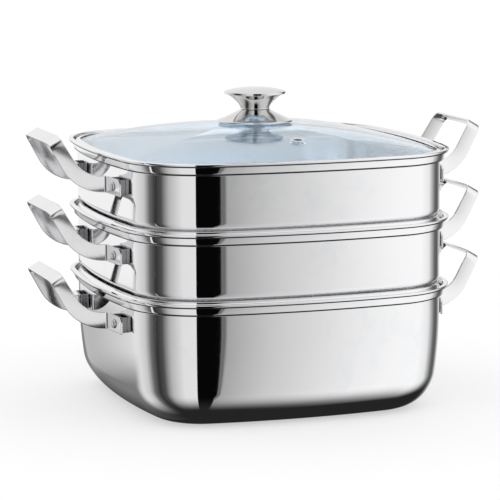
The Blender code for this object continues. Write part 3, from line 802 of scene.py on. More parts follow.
class Finishes:
    """All of the steamer's materials, made once."""

    def __init__(self) -> None:
        """Build the shared groups, then each material from its finish."""
        effects = Effects(polish_lines(), handling_marks(), edge_wear())
        self.mirror = Steel(
            "mirror_steel", Coat((0.87, 0.87, 0.88), (0.83, 0.835, 0.845), 0.022, marks=0.020),
            lines=0.020).build(effects)
        self.satin = Steel(
            "satin_steel", Coat((0.96, 0.96, 0.965), (0.93, 0.935, 0.94), 0.19, marks=0.04),
            lines=0.05, fineness=1800.0, relief=0.03, metallic=0.92).build(effects)
        # Nearly black steel: painted shade on the rows that face down under the lips and ledges.
        self.painted_shade = Steel(
            "painted_shade_steel", Coat((0.07, 0.07, 0.07), (0.04, 0.04, 0.04), 0.35, marks=0.10),
            lines=0.10).build(effects)
        self.handle = Steel(
            "handle_steel", Coat((0.86, 0.86, 0.87), (0.81, 0.815, 0.82), 0.13, marks=0.05),
            lines=0.09, fineness=98.0, stretch=0.07, relief=0.35).build(effects)
        # Darker copy of the handle steel: painted shade for the brackets tucked behind the strap's tabs.
        self.bracket = Steel(
            "shaded_bracket_steel", Coat((0.30, 0.30, 0.31), (0.24, 0.24, 0.25), 0.26, marks=0.08),
            lines=0.08, fineness=1200.0, relief=0.15).build(effects)
        self.rivet = Steel(
            "rivet_steel", Coat((0.72, 0.72, 0.73), (0.62, 0.62, 0.63), 0.17, marks=0.10),
            lines=0.08, fineness=1600.0, relief=0.20).build(effects)
        self.knob = Steel(
            "knob_steel", Coat((0.74, 0.735, 0.73), (0.68, 0.675, 0.67), 0.035, marks=0.03),
            lines=0.03, fineness=1500.0, relief=0.06).build(effects)
        self.glass = TintedGlass().build(effects)
        self.silicone = Silicone().build(effects)


def seat(piece: bpy.types.Object, body: str, slot: str, *nodes: str) -> bpy.types.Object:
    """Seat a finished piece on its body and let it stand for its nodes.

    Args:
        piece: The new object.
        body: Name of the body that carries it.
        slot: The record's material slot; not used.
        nodes: CAD nodes that the piece stands for.

    Returns:
        The same object.
    """
    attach(piece, body)
    if nodes:
        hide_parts(*nodes)
    LOG.info("%s rides on %s, %d faces", piece.name, body, len(piece.data.polygons))
    return piece


@dataclass(frozen=True)
class Mouth:
    """Rolled lip, collar and ledge of a vessel. Heights count from the lip's top."""

    sheet: float = 0.0008
    collar: float = 0.1557
    lip: float = 0.1595
    lip_depth: float = 0.0034
    ledge: float = 0.0107
    hem_gap: float = 0.0012
    seam: float = 0.0045
    top_round: float = 0.00085
    bead_round: float = 0.0025
    fold_round: float = 0.0003
    collar_taper: float = 0.0010
    collar_round: float = 0.0024
    wall_round: float = 0.0006
    # Least inward lean of a downward row under the lip or ledge that takes the painted shade.
    painted_shade_tilt: float = math.radians(27)

    @property
    def start(self) -> list[tuple[float, float]]:
        """Outer corners from under the lip to the wall."""
        foot = self.collar - self.collar_taper
        return [(self.collar, -self.seam), (foot, -self.ledge), (PLAN.body, -self.ledge)]

    def crown(self) -> np.ndarray:
        """Profile of the lip, from the inside of the collar over to its outside."""
        inner, hem = self.collar - self.sheet, self.collar + self.hem_gap
        corners = [
            (inner, -self.seam), (inner, 0), (self.lip, 0), (self.lip, -self.lip_depth),
            (hem, -self.lip_depth), (hem, -self.sheet), (self.collar, -self.sheet),
            (self.collar, -self.seam)]
        fold = self.fold_round
        return round_corners(
            corners, [self.top_round, self.top_round, self.bead_round, fold, fold, fold])

    def slots(self, profile: np.ndarray, inner_rows: int) -> np.ndarray:
        """Material slot of each row of faces: mirror 0, satin 1 or painted shade 2.

        Rows that face down under the lip and the ledge take painted shade: a nearly
        black steel that stands in for the shadow under them.

        Args:
            profile: Whole profile, from inside to outside.
            inner_rows: Rows that belong to the inner face.

        Returns:
            One slot for each row.
        """
        runs = np.diff(profile, axis=0)
        inward = -runs[:, 0] / np.maximum(np.linalg.norm(runs, axis=1), WELD)
        middle = (profile[1:, 1] + profile[:-1, 1]) / 2
        in_mouth = middle > -self.ledge - self.wall_round
        outer = np.arange(len(runs)) >= inner_rows
        # Downward rows under the lip and ledge take the nearly black painted shade, slot 2.
        painted_shade = outer & in_mouth & (inward > math.sin(self.painted_shade_tilt)) & (runs[:, 1] <= WELD)
        return np.where(painted_shade, 2, np.where(outer, 0, 1))


@dataclass(frozen=True)
class VesselShell:
    """Drawn steel vessel: one closed sheet with a mouth, a wall and a floor."""

    vessel: Vessel
    mouth: Mouth = field(default_factory=Mouth)

    def outside(self) -> np.ndarray:
        """Outer profile from under the lip to the floor's edge."""
        raise NotImplementedError

    def add_floor(self, surface: Surface, edge: np.ndarray) -> None:
        """Close the floor between the ends of the two faces."""
        raise NotImplementedError

    def build(self, finishes: Finishes) -> None:
        """Join the inner face, the lip and the outer face into one sheet.

        The inner face is the outer one moved in by the sheet's thickness.

        Args:
            finishes: The steamer's materials.
        """
        outside = self.outside()
        inside = offset_right(outside, self.mouth.sheet)[::-1]
        crown = self.mouth.crown()
        profile = np.concatenate([inside, crown[1:-1], outside])
        slots = self.mouth.slots(profile, len(inside))
        profile = profile + np.array([0.0, self.vessel.lip])
        surface = Surface()
        surface.grid(PLAN.rings(profile), slot=slots)
        self.add_floor(surface, profile[[0, -1]])
        name = self.vessel.value
        faces = [finishes.mirror, finishes.satin, finishes.painted_shade]
        piece = surface.build(f"{name}_shell", faces)
        seat(piece, name, "polished_steel", f"{name}_body")


@dataclass(frozen=True)
class PotShell(VesselShell):
    """Deep pot with a slight taper and a generously rounded bottom edge."""

    height: float = 0.1140
    straight: float = 0.026
    taper: float = 0.0037
    taper_steps: int = 8
    round_width: float = 0.037
    round_height: float = 0.038
    round_start: float = math.radians(8)
    round_steps: int = 26
    floor_shares: tuple[float, ...] = (0.8, 0.5, 0.2, 0.0)

    def outside(self) -> np.ndarray:
        """Outer profile.

        The taper grows with the square of the depth, and the bottom edge is a quarter
        of an ellipse: width times cosine, height times one less sine.

        Returns:
            Half-widths and heights, shape (rows, 2).
        """
        mouth = self.mouth
        corners = [*mouth.start, (PLAN.body, -self.straight)]
        top = round_corners(corners, [mouth.collar_round, mouth.wall_round])
        taper_end = -self.height + self.round_height * (1 - math.sin(self.round_start))
        share = np.linspace(0, 1, self.taper_steps + 1)[1:]
        taper = np.stack([PLAN.body - self.taper * share ** 2,
                          -self.straight + (taper_end + self.straight) * share], 1)
        edge = PLAN.body - self.taper - self.round_width * math.cos(self.round_start)
        angle = np.linspace(self.round_start, math.pi / 2, self.round_steps + 1)[1:]
        turn = np.stack([edge + self.round_width * np.cos(angle),
                         -self.height + self.round_height * (1 - np.sin(angle))], 1)
        return np.concatenate([top, taper, turn])

    def add_floor(self, surface: Surface, edge: np.ndarray) -> None:
        """Close the floor with rings that shrink to its middle.

        Args:
            surface: The vessel's surface.
            edge: Half-width and height of the floor's edge, inside then outside.
        """
        shares = np.array([1.0, *self.floor_shares])
        for (half_width, height), slot, order in zip(edge, (1, 0), (-1, 1)):
            rings = PLAN.shrunk(half_width, shares, np.full(len(shares), height))
            surface.grid(rings[::order], slot=slot)


@dataclass(frozen=True)
class TierShell(VesselShell):
    """Steamer tier: it draws in at a waist and stands on a foot, with a pierced floor."""

    pitch: float = 0.0614
    seat_half: float = 0.1532
    seat_drop: float = 0.0096
    crease_rise: float = 0.0065
    waist_inset: float = 0.0022
    waist_rise: float = 0.0004
    foot_height: float = 0.0046
    foot_width: float = 0.004
    crease_round: float = 0.012
    waist_round: float = 0.003
    foot_round: float = 0.0012
    hole_radius: float = 0.006
    hole_pitch: float = 0.056
    hole_sides: int = 32
    grids: tuple[int, ...] = (4, 3)

    def outside(self) -> np.ndarray:
        """Outer profile, with each corner rounded.

        Returns:
            Half-widths and heights, shape (rows, 2).
        """
        mouth, top = self.mouth, -self.pitch
        bottom = top - self.seat_drop
        corners = [
            *mouth.start,
            (PLAN.body, top + self.crease_rise),
            (PLAN.body - self.waist_inset, top + self.waist_rise),
            (self.seat_half, bottom + self.foot_height),
            (self.seat_half, bottom),
            (self.seat_half - self.foot_width, bottom)]
        radii = [mouth.collar_round, mouth.wall_round, self.crease_round, self.waist_round,
                 self.foot_round, self.foot_round]
        return round_corners(corners, radii)

    def holes(self) -> np.ndarray:
        """Rims of the steam holes: two square grids, one set between the other.

        Returns:
            Points in plan, shape (holes, sides, 2).
        """
        places = []
        for count in self.grids:
            steps = (np.arange(count) - (count - 1) / 2) * self.hole_pitch
            places.append(np.stack(np.meshgrid(steps, steps), -1).reshape(-1, 2))
        angle = np.linspace(0, 2 * math.pi, self.hole_sides, endpoint=False)
        rim = np.stack([np.cos(angle), np.sin(angle)], 1) * self.hole_radius
        return np.concatenate(places)[:, None] + rim[None]

    def add_floor(self, surface: Surface, edge: np.ndarray) -> None:
        """Close the floor round its steam holes.

        A plate is the Delaunay triangles of its outline and the rims of the holes, less
        those whose middle lies in a hole. Each hole's wall joins the two plates.

        Args:
            surface: The vessel's surface.
            edge: Half-width and height of the floor's edge, inside then outside.
        """
        holes = self.holes()
        rims = holes.reshape(-1, 2)
        outline = PLAN.outline(edge[0, 0])[0]
        flat = np.concatenate([outline, rims])
        loop = np.arange(len(outline))
        edges = [np.stack([loop, np.roll(loop, -1)], 1)]
        ring = np.arange(len(rims)).reshape(len(holes), -1) + len(outline)
        edges.append(np.stack([ring, np.roll(ring, -1, axis=1)], -1).reshape(-1, 2))
        lines = np.concatenate(edges).tolist()
        result = geometry.delaunay_2d_cdt([Vector(point) for point in flat], lines, [], 0, MERGE)
        source = np.array([found[0] for found in result[3]])
        triangles = source[np.array(result[2])]
        middles = flat[triangles].mean(1)
        away = np.linalg.norm(middles[:, None] - holes.mean(1)[None], axis=-1).min(1)
        triangles = triangles[away > self.hole_radius * math.cos(math.pi / self.hole_sides)]
        for (_, height), slot, order in zip(edge, (1, 0), (1, -1)):
            level = np.full((len(flat), 1), height)
            surface.faces(np.concatenate([flat, level], 1), triangles[:, ::order], slot)
        for hole in holes:
            lower = np.concatenate([hole, np.full((len(hole), 1), edge[1, 1])], 1)
            upper = np.concatenate([hole, np.full((len(hole), 1), edge[0, 1])], 1)
            surface.grid(np.stack([lower, upper]), slot=1)


@dataclass(frozen=True)
class Handle:
    """Steel strap bent into a loop, on two riveted brackets."""

    vessel: Vessel
    side: Side
    root_drop: float = 0.0266
    rest_gap: float = 0.0003
    thickness: float = 0.002
    edge: float = 0.0006
    root_width: float = 0.0148
    top_width: float = 0.0126
    root_run: float = 0.003
    curve_radius: float = 0.034
    curve_angle: float = math.radians(60)
    curve_steps: int = 20
    rise_length: float = 0.0265
    rise_steps: int = 6
    arm_lean: float = 0.0075
    inner_reach: float = 0.0184
    tab_reach: float = 0.0160
    tab_corner: float = 0.004
    tab_soft: float = 0.0008
    tab_bend: float = 0.003
    tab_shares: tuple[float, ...] = (0.0, 0.1, 0.25, 0.5, 0.75, 1.0, 1.25, 1.6)
    grip_bend: float = 0.007
    bend_steps: int = 10
    clear: float = 1.1
    standoff: float = 0.0051
    bracket_width: float = 0.024
    bracket_height: float = 0.0136
    bracket_sheet: float = 0.0015
    bracket_bend: float = 0.0018
    rivet_shank: float = 0.0022
    rivet_head: float = 0.0042
    rivet_crown: float = 0.0021
    rivet_tail: float = 0.0034
    rivet_tail_height: float = 0.0012
    rivet_rings: int = 12
    rivet_sides: int = 36
    wall_rivet: float = 0.0019
    wall_rivet_crown: float = 0.0008
    wall_rivet_spacing: float = 0.011
    wall_rivet_rings: int = 8
    wall_rivet_sides: int = 28

    @property
    def level(self) -> float:
        """Height of the middle of the tabs."""
        return self.vessel.lip - self.root_drop

    @property
    def tab_offset(self) -> float:
        """Distance from the wall to the middle of the tab."""
        return self.rest_gap + self.standoff + self.rest_gap + self.thickness / 2

    def seat_at(self) -> tuple[np.ndarray, np.ndarray]:
        """Middle and outward direction of the front bracket's flat, on the +X side.

        The solid's wall is flat between a side's front end and a quarter of the way
        along it, and the bracket sits in the middle of that flat.

        Returns:
            Point and unit direction in plan.
        """
        bow = PLAN.half_bow
        angle = np.array([-bow, -bow / 2])
        x = PLAN.side_centre + PLAN.side_radius * np.cos(angle)
        ends = np.stack([x, PLAN.side_radius * np.sin(angle)], 1)
        return ends.mean(0), right_of(unit(ends[1] - ends[0]))

    def course(self) -> tuple[np.ndarray, np.ndarray, np.ndarray]:
        """Run, rise and slope of an arm's middle line, from its root to its top.

        It leaves level, follows an arc of the curve's radius up to the curve's angle,
        and goes on straight at that slope.

        Returns:
            Three arrays of equal length.
        """
        slope = np.linspace(0, self.curve_angle, self.curve_steps + 1)
        run = self.root_run + self.curve_radius * np.sin(slope)
        rise = self.curve_radius * (1 - np.cos(slope))
        further = np.linspace(0, self.rise_length, self.rise_steps + 1)[1:]
        run = np.concatenate([[0.0], run, run[-1] + further * math.cos(self.curve_angle)])
        rise = np.concatenate([[0.0], rise, rise[-1] + further * math.sin(self.curve_angle)])
        straight = np.full(self.rise_steps, self.curve_angle)
        return run, rise, np.concatenate([[0.0], slope, straight])

    def strap(self, finish: bpy.types.Material) -> bpy.types.Object:
        """Strap from one tab over the grip to the other.

        The front half's stations run from the end of the tab, round the bend at the
        root, up the arm and round the bend at the top to the middle of the grip. The
        back half is the same with Y turned round.

        Args:
            finish: The strap's material.

        Returns:
            The new object.
        """
        place, outward = self.seat_at()
        along = right_of(outward)
        rivet = place + outward * self.tab_offset
        flat_along = np.array([*along, 0.0])
        middle = np.array([*rivet, 0.0])
        root = middle - flat_along * self.inner_reach
        run, rise, slope = self.course()
        arm = root + np.stack([run, self.arm_lean * run / run[-1], rise], 1)
        half_root, half_top = self.root_width / 2, self.top_width / 2
        arm_half = half_root + (half_top - half_root) * run / run[-1]
        tab = np.array(self.tab_shares) * self.tab_corner
        tab_points = middle + flat_along * (self.tab_reach - tab)[:, None]
        below = self.tab_corner - tab
        cut = (below + np.sqrt(below ** 2 + self.tab_soft ** 2)) / 2
        root_bend = bend(tab_points[-1], root, arm[1], self.tab_bend, self.bend_steps)
        top = arm[-1]
        grip_middle = np.array([top[0], 0.0, top[2]])
        grip_bend = bend(arm[-2], top, grip_middle, self.grip_bend, self.bend_steps)
        setback = np.linalg.norm(grip_bend[0] - top)
        kept = np.linalg.norm(arm - top, axis=1) > setback * self.clear
        kept[0] = False
        kept &= run > np.linalg.norm(root_bend[-1] - root) * self.clear
        path = np.concatenate([tab_points, root_bend, arm[kept], grip_bend, grip_middle[None]])
        ways = np.stack([-np.sin(slope), np.zeros(len(slope)), np.cos(slope)], 1)
        lean = np.broadcast_to(ways[-1], (len(grip_bend) + 1, 3))
        upright = np.broadcast_to([0.0, 0.0, 1.0], (len(tab_points) + len(root_bend), 3))
        width_way = np.concatenate([upright, ways[kept], lean])
        lower = np.concatenate([
            np.full(len(upright), half_root), arm_half[kept], np.full(len(lean), half_top)])
        upper = lower.copy()
        upper[:len(cut)] -= cut
        back = np.array([1.0, -1.0, 1.0])
        path = np.concatenate([path, (path * back)[-2::-1]])
        width_way = np.concatenate([width_way, (width_way * back)[-2::-1]])
        upper, lower = (np.concatenate([reach, reach[-2::-1]]) for reach in (upper, lower))
        sign = self.side.value[1]
        turn = np.array([sign, sign, 1.0])
        strip = Strip(path * turn + np.array([0.0, 0.0, self.level]), width_way * turn, upper,
                      lower, self.thickness, self.edge)
        return strip.build(f"{self.vessel.value}_{self.side.value[0]}_strap_loop", finish)

    def seat_matrix(self, end: End) -> Matrix:
        """Place of one bracket: its X leaves the wall and its Z is up.

        Args:
            end: Front or back.

        Returns:
            The matrix from the seat to the frame.
        """
        place, outward = self.seat_at()
        across, ahead = self.side.value[1], -end.value[1]
        heading = math.atan2(outward[1] * ahead, outward[0] * across)
        spot = Vector((place[0] * across, place[1] * ahead, self.level))
        return Matrix.Translation(spot) @ Matrix.Rotation(heading, 4, "Z")

    def bracket(self, name: str, place: Matrix, finish: bpy.types.Material) -> bpy.types.Object:
        """Bracket bent from a strip of sheet, its two legs on the wall.

        Args:
            name: Name of the piece.
            place: Matrix from the seat to the frame.
            finish: Its material.

        Returns:
            The new object.
        """
        inset = self.bracket_sheet / 2
        outer, half = self.rest_gap + self.standoff - inset, self.bracket_width / 2 - inset
        corners = np.array([(self.rest_gap, -half, 0), (outer, -half, 0), (outer, half, 0),
                            (self.rest_gap, half, 0)])
        first = bend(*corners[:3], self.bracket_bend, self.bend_steps)
        second = bend(*corners[1:], self.bracket_bend, self.bend_steps)
        path = np.concatenate([corners[:1], first, second, corners[-1:]])
        path = carried(path, place)
        up = np.broadcast_to([0.0, 0.0, 1.0], path.shape)
        reach = np.full(len(path), self.bracket_height / 2)
        return Strip(path, up, reach, reach, self.bracket_sheet, self.edge / 2).build(name, finish)

    def rivet(self, name: str, place: Matrix, finish: bpy.types.Material) -> bpy.types.Object:
        """Rivet through tab and bracket, with a domed head.

        The dome is a quarter of an ellipse: head radius times sine, crown times cosine.

        Args:
            name: Name of the piece.
            place: Matrix from the seat to the frame.
            finish: Its material.

        Returns:
            The new object.
        """
        base = self.tab_offset + self.thickness / 2 + self.rest_gap
        tail = self.standoff - self.bracket_sheet
        angle = np.linspace(0, math.pi / 2, self.rivet_rings)
        dome = np.stack([self.rivet_head * np.sin(angle), base + self.rivet_crown * np.cos(angle)], 1)
        rest = np.array([
            (self.rivet_shank, base), (self.rivet_shank, tail), (self.rivet_tail, tail),
            (self.rivet_tail, tail - self.rivet_tail_height), (0, tail - self.rivet_tail_height)])
        axis = place @ Matrix.Rotation(math.pi / 2, 4, "Y")
        return turned(name, np.concatenate([dome, rest]), finish, axis, self.rivet_sides)

    def wall_rivets(self, name: str, place: Matrix, finish: bpy.types.Material) -> bpy.types.Object:
        """Two small rivet heads that hold the bracket, seen on the inside of the wall.

        A head is a quarter of an ellipse, closed by a flat within the wall's sheet.

        Args:
            name: Name of the piece.
            place: Matrix from the seat to the frame.
            finish: Their material.

        Returns:
            The new object.
        """
        angle = np.linspace(0, math.pi / 2, self.wall_rivet_rings)
        turn = np.linspace(0, 2 * math.pi, self.wall_rivet_sides, endpoint=False)[None, :]
        sheet = Mouth().sheet
        bow = PLAN.side_radius * (1 - math.cos(PLAN.half_bow / 4))
        back = bow - sheet / 2
        radius = np.array([*self.wall_rivet * np.sin(angle), self.wall_rivet, 0.0])[:, None]
        depth = np.array([*bow - sheet - self.wall_rivet_crown * np.cos(angle), back, back])
        depth = np.broadcast_to(depth[:, None], (len(depth), turn.size))
        surface = Surface()
        for aside in (-self.wall_rivet_spacing / 2, self.wall_rivet_spacing / 2):
            points = np.stack([depth, radius * np.cos(turn) + aside, radius * np.sin(turn)], -1)
            surface.grid(carried(points, place))
        return surface.build(name, [finish])

    def build(self, finishes: Finishes) -> None:
        """Make the strap, its brackets and their rivets.

        Args:
            finishes: The steamer's materials.
        """
        body, side = self.vessel.value, self.side.value[0]
        seat(self.strap(finishes.handle), body, "handle_steel", f"{body}_{side}_strap")
        for end in End:
            stem = f"{body}_{side}_{end.value[0]}"
            place = self.seat_matrix(end)
            bracket = self.bracket(f"{stem}_bent_bracket", place, finishes.bracket)
            seat(bracket, body, "handle_steel", f"{stem}_bracket")
            rivet = self.rivet(f"{stem}_domed_rivet", place, finishes.rivet)
            seat(rivet, body, "rivet_steel", f"{stem}_rivet")
            studs = self.wall_rivets(f"{stem}_wall_rivets", place, finishes.rivet)
            seat(studs, body, "rivet_steel")


@dataclass(frozen=True)
class Lid:
    """Domed glass in a rolled steel rim, with its seal and steam vent."""

    body: str = "lid"
    seat_half: float = 0.1532
    seat_drop: float = 0.0096
    rim_sheet: float = 0.0007
    rim_height: float = 0.0084
    rim_top_width: float = 0.0048
    rim_under_width: float = 0.0058
    rim_top_round: float = 0.0022
    rim_bottom_round: float = 0.0011
    rim_end_round: float = 0.00025
    glass: float = 0.004
    rise: float = 0.0203
    edge_gap: float = 0.0005
    top_gap: float = 0.0004
    rest_gap: float = 0.0003
    seal_round: float = 0.0003
    glass_round: float = 0.0012
    flat_share: float = 0.16
    flat_steps: int = 4
    dome_steps: int = 36
    vent_forward: float = 0.094
    vent_aside: float = 0.008
    vent_flange: float = 0.0075
    vent_tube: float = 0.0046
    vent_bore: float = 0.0035
    vent_thickness: float = 0.0009
    vent_gap: float = 0.0004
    vent_clearance: float = 0.0003
    vent_round: float = 0.0004
    vent_rest: float = 0.0001
    vent_sides: int = 48
    drill_reach: float = 0.012

    @property
    def rim_bottom(self) -> float:
        """Height of the rim's underside."""
        return Vessel.UPPER_TIER.lip - self.seat_drop

    @property
    def glass_top(self) -> float:
        """Height of the top of the glass at its edge."""
        return self.rim_bottom + self.rim_height - self.rim_sheet - self.top_gap

    @property
    def dome_half(self) -> float:
        """Half-width at which the dome starts."""
        return self.seat_half - self.rim_top_width - self.top_gap

    @property
    def crown(self) -> float:
        """Height of the flat middle of the glass."""
        return self.glass_top + self.rise

    def dome(self, share: np.ndarray) -> np.ndarray:
        """Rise of the dome at shares of its width: a parabola with a flat middle.

        Args:
            share: Shares of the width.

        Returns:
            Heights above the edge of the glass.
        """
        outer = np.maximum(share, self.flat_share)
        return self.rise * (1 - outer ** 2) / (1 - self.flat_share ** 2)

    def rim(self, finish: bpy.types.Material) -> bpy.types.Object:
        """Channel rolled from sheet, open towards the glass.

        Args:
            finish: Its material.

        Returns:
            The new object.
        """
        outer, sheet = self.seat_half, self.rim_sheet
        low, high = self.rim_bottom, self.rim_bottom + self.rim_height
        top_end, under_end = outer - self.rim_top_width, outer - self.rim_under_width
        corners = [
            (top_end, high), (outer, high), (outer, low), (under_end, low),
            (under_end, low + sheet), (outer - sheet, low + sheet), (outer - sheet, high - sheet),
            (top_end, high - sheet)]
        end = self.rim_end_round
        radii = [end, self.rim_top_round, self.rim_bottom_round, end, end,
                 self.rim_bottom_round - sheet, self.rim_top_round - sheet, end]
        surface = Surface()
        surface.grid(PLAN.rings(round_loop(corners, radii)), wrap_rows=True)
        return surface.build("lid_rim_channel", [finish])

    def seal(self, finish: bpy.types.Material) -> bpy.types.Object:
        """Silicone seat under the edge of the glass.

        Args:
            finish: Its material.

        Returns:
            The new object.
        """
        outer = self.seat_half - self.rim_sheet - self.edge_gap
        bottom = self.rim_bottom + self.rim_sheet + self.rest_gap
        top = self.glass_top - self.glass - self.rest_gap
        corners = [(self.dome_half, top), (outer, top), (outer, bottom), (self.dome_half, bottom)]
        surface = Surface()
        surface.grid(PLAN.rings(round_loop(corners, [self.seal_round] * 4)), wrap_rows=True)
        return surface.build("lid_seal", [finish])

    def vent_matrix(self) -> Matrix:
        """Place of the vent on the glass, square to the dome there."""
        share = self.vent_forward / self.dome_half
        step = self.vent_flange / self.dome_half
        height = self.dome(np.array([share - step, share, share + step]))
        tilt = math.atan2(height[0] - height[2], 2 * self.vent_flange)
        place = Vector((self.vent_aside, -self.vent_forward, self.glass_top + height[1]))
        return Matrix.Translation(place) @ Matrix.Rotation(tilt, 4, "X")

    def pane(self, finish: bpy.types.Material) -> bpy.types.Object:
        """Domed pane with its vent hole.

        Rings of the dome are scaled copies of its outline, raised by the parabola, and
        the flange and its rounded edge are offsets of the outline. The lower face is
        the upper one, a glass thickness below.

        Args:
            finish: Its material.

        Returns:
            The new object.
        """
        edge = self.seat_half - self.rim_sheet - self.edge_gap
        inner = np.linspace(0, self.flat_share, self.flat_steps, endpoint=False)
        shares = np.concatenate([inner, np.linspace(self.flat_share, 1, self.dome_steps)])
        upper = PLAN.shrunk(self.dome_half, shares, self.glass_top + self.dome(shares))
        lower = (upper - np.array([0.0, 0.0, self.glass]))[::-1]
        low, high = self.glass_top - self.glass, self.glass_top
        flange = round_corners(
            [(self.dome_half, high), (edge, high), (edge, low), (self.dome_half, low)],
            [self.glass_round, self.glass_round])
        surface = Surface()
        surface.grid(np.concatenate([upper, PLAN.rings(flange[1:-1]), lower]))
        pane = surface.build("lid_pane", [finish])
        radius, reach = self.vent_tube + self.vent_clearance, self.drill_reach
        rod = np.array([(0.0, -reach), (radius, -reach), (radius, reach), (0.0, reach)])
        drill = turned("vent_drill", rod, finish, self.vent_matrix(), self.vent_sides)
        cut = pane.modifiers.new("vent_hole", "BOOLEAN")
        cut.operation = "DIFFERENCE"
        cut.solver = "EXACT"
        cut.object = drill
        bpy.context.view_layer.update()
        graph = bpy.context.evaluated_depsgraph_get()
        cut_mesh = bpy.data.meshes.new_from_object(pane.evaluated_get(graph))
        pane.modifiers.clear()
        pane.data = cut_mesh
        bpy.data.objects.remove(drill)
        cut_mesh.shade_smooth()
        cut_mesh.set_sharp_from_angle(angle=math.radians(SHARP))
        return pane

    def vent(self, finish: bpy.types.Material) -> bpy.types.Object:
        """Steel eyelet through the glass, flanged above and below.

        Args:
            finish: Its material.

        Returns:
            The new object.
        """
        upper, lower = self.vent_gap, -self.glass - self.vent_gap
        thick, soft = self.vent_thickness, self.vent_round
        corners = [
            (self.vent_bore, upper + thick), (self.vent_flange, upper + thick),
            (self.vent_flange, upper), (self.vent_tube, upper), (self.vent_tube, lower),
            (self.vent_flange, lower), (self.vent_flange, lower - thick),
            (self.vent_bore, lower - thick)]
        radii = [soft * 2, soft, soft, soft / 2, soft / 2, soft, soft, soft * 2]
        profile = round_loop(corners, radii, rest=self.vent_rest)
        return turned("vent_eyelet", profile, finish, self.vent_matrix(), self.vent_sides, closed=True)

    def build(self, finishes: Finishes) -> None:
        """Make the lid's own pieces.

        Args:
            finishes: The steamer's materials.
        """
        seat(self.rim(finishes.mirror), self.body, "polished_steel", "lid_rim_ring")
        seat(self.seal(finishes.silicone), self.body, "silicone", "rim_gasket")
        seat(self.pane(finishes.glass), self.body, "tinted_glass", "lid_glass")
        seat(self.vent(finishes.rivet), self.body, "rivet_steel", "vent_grommet")


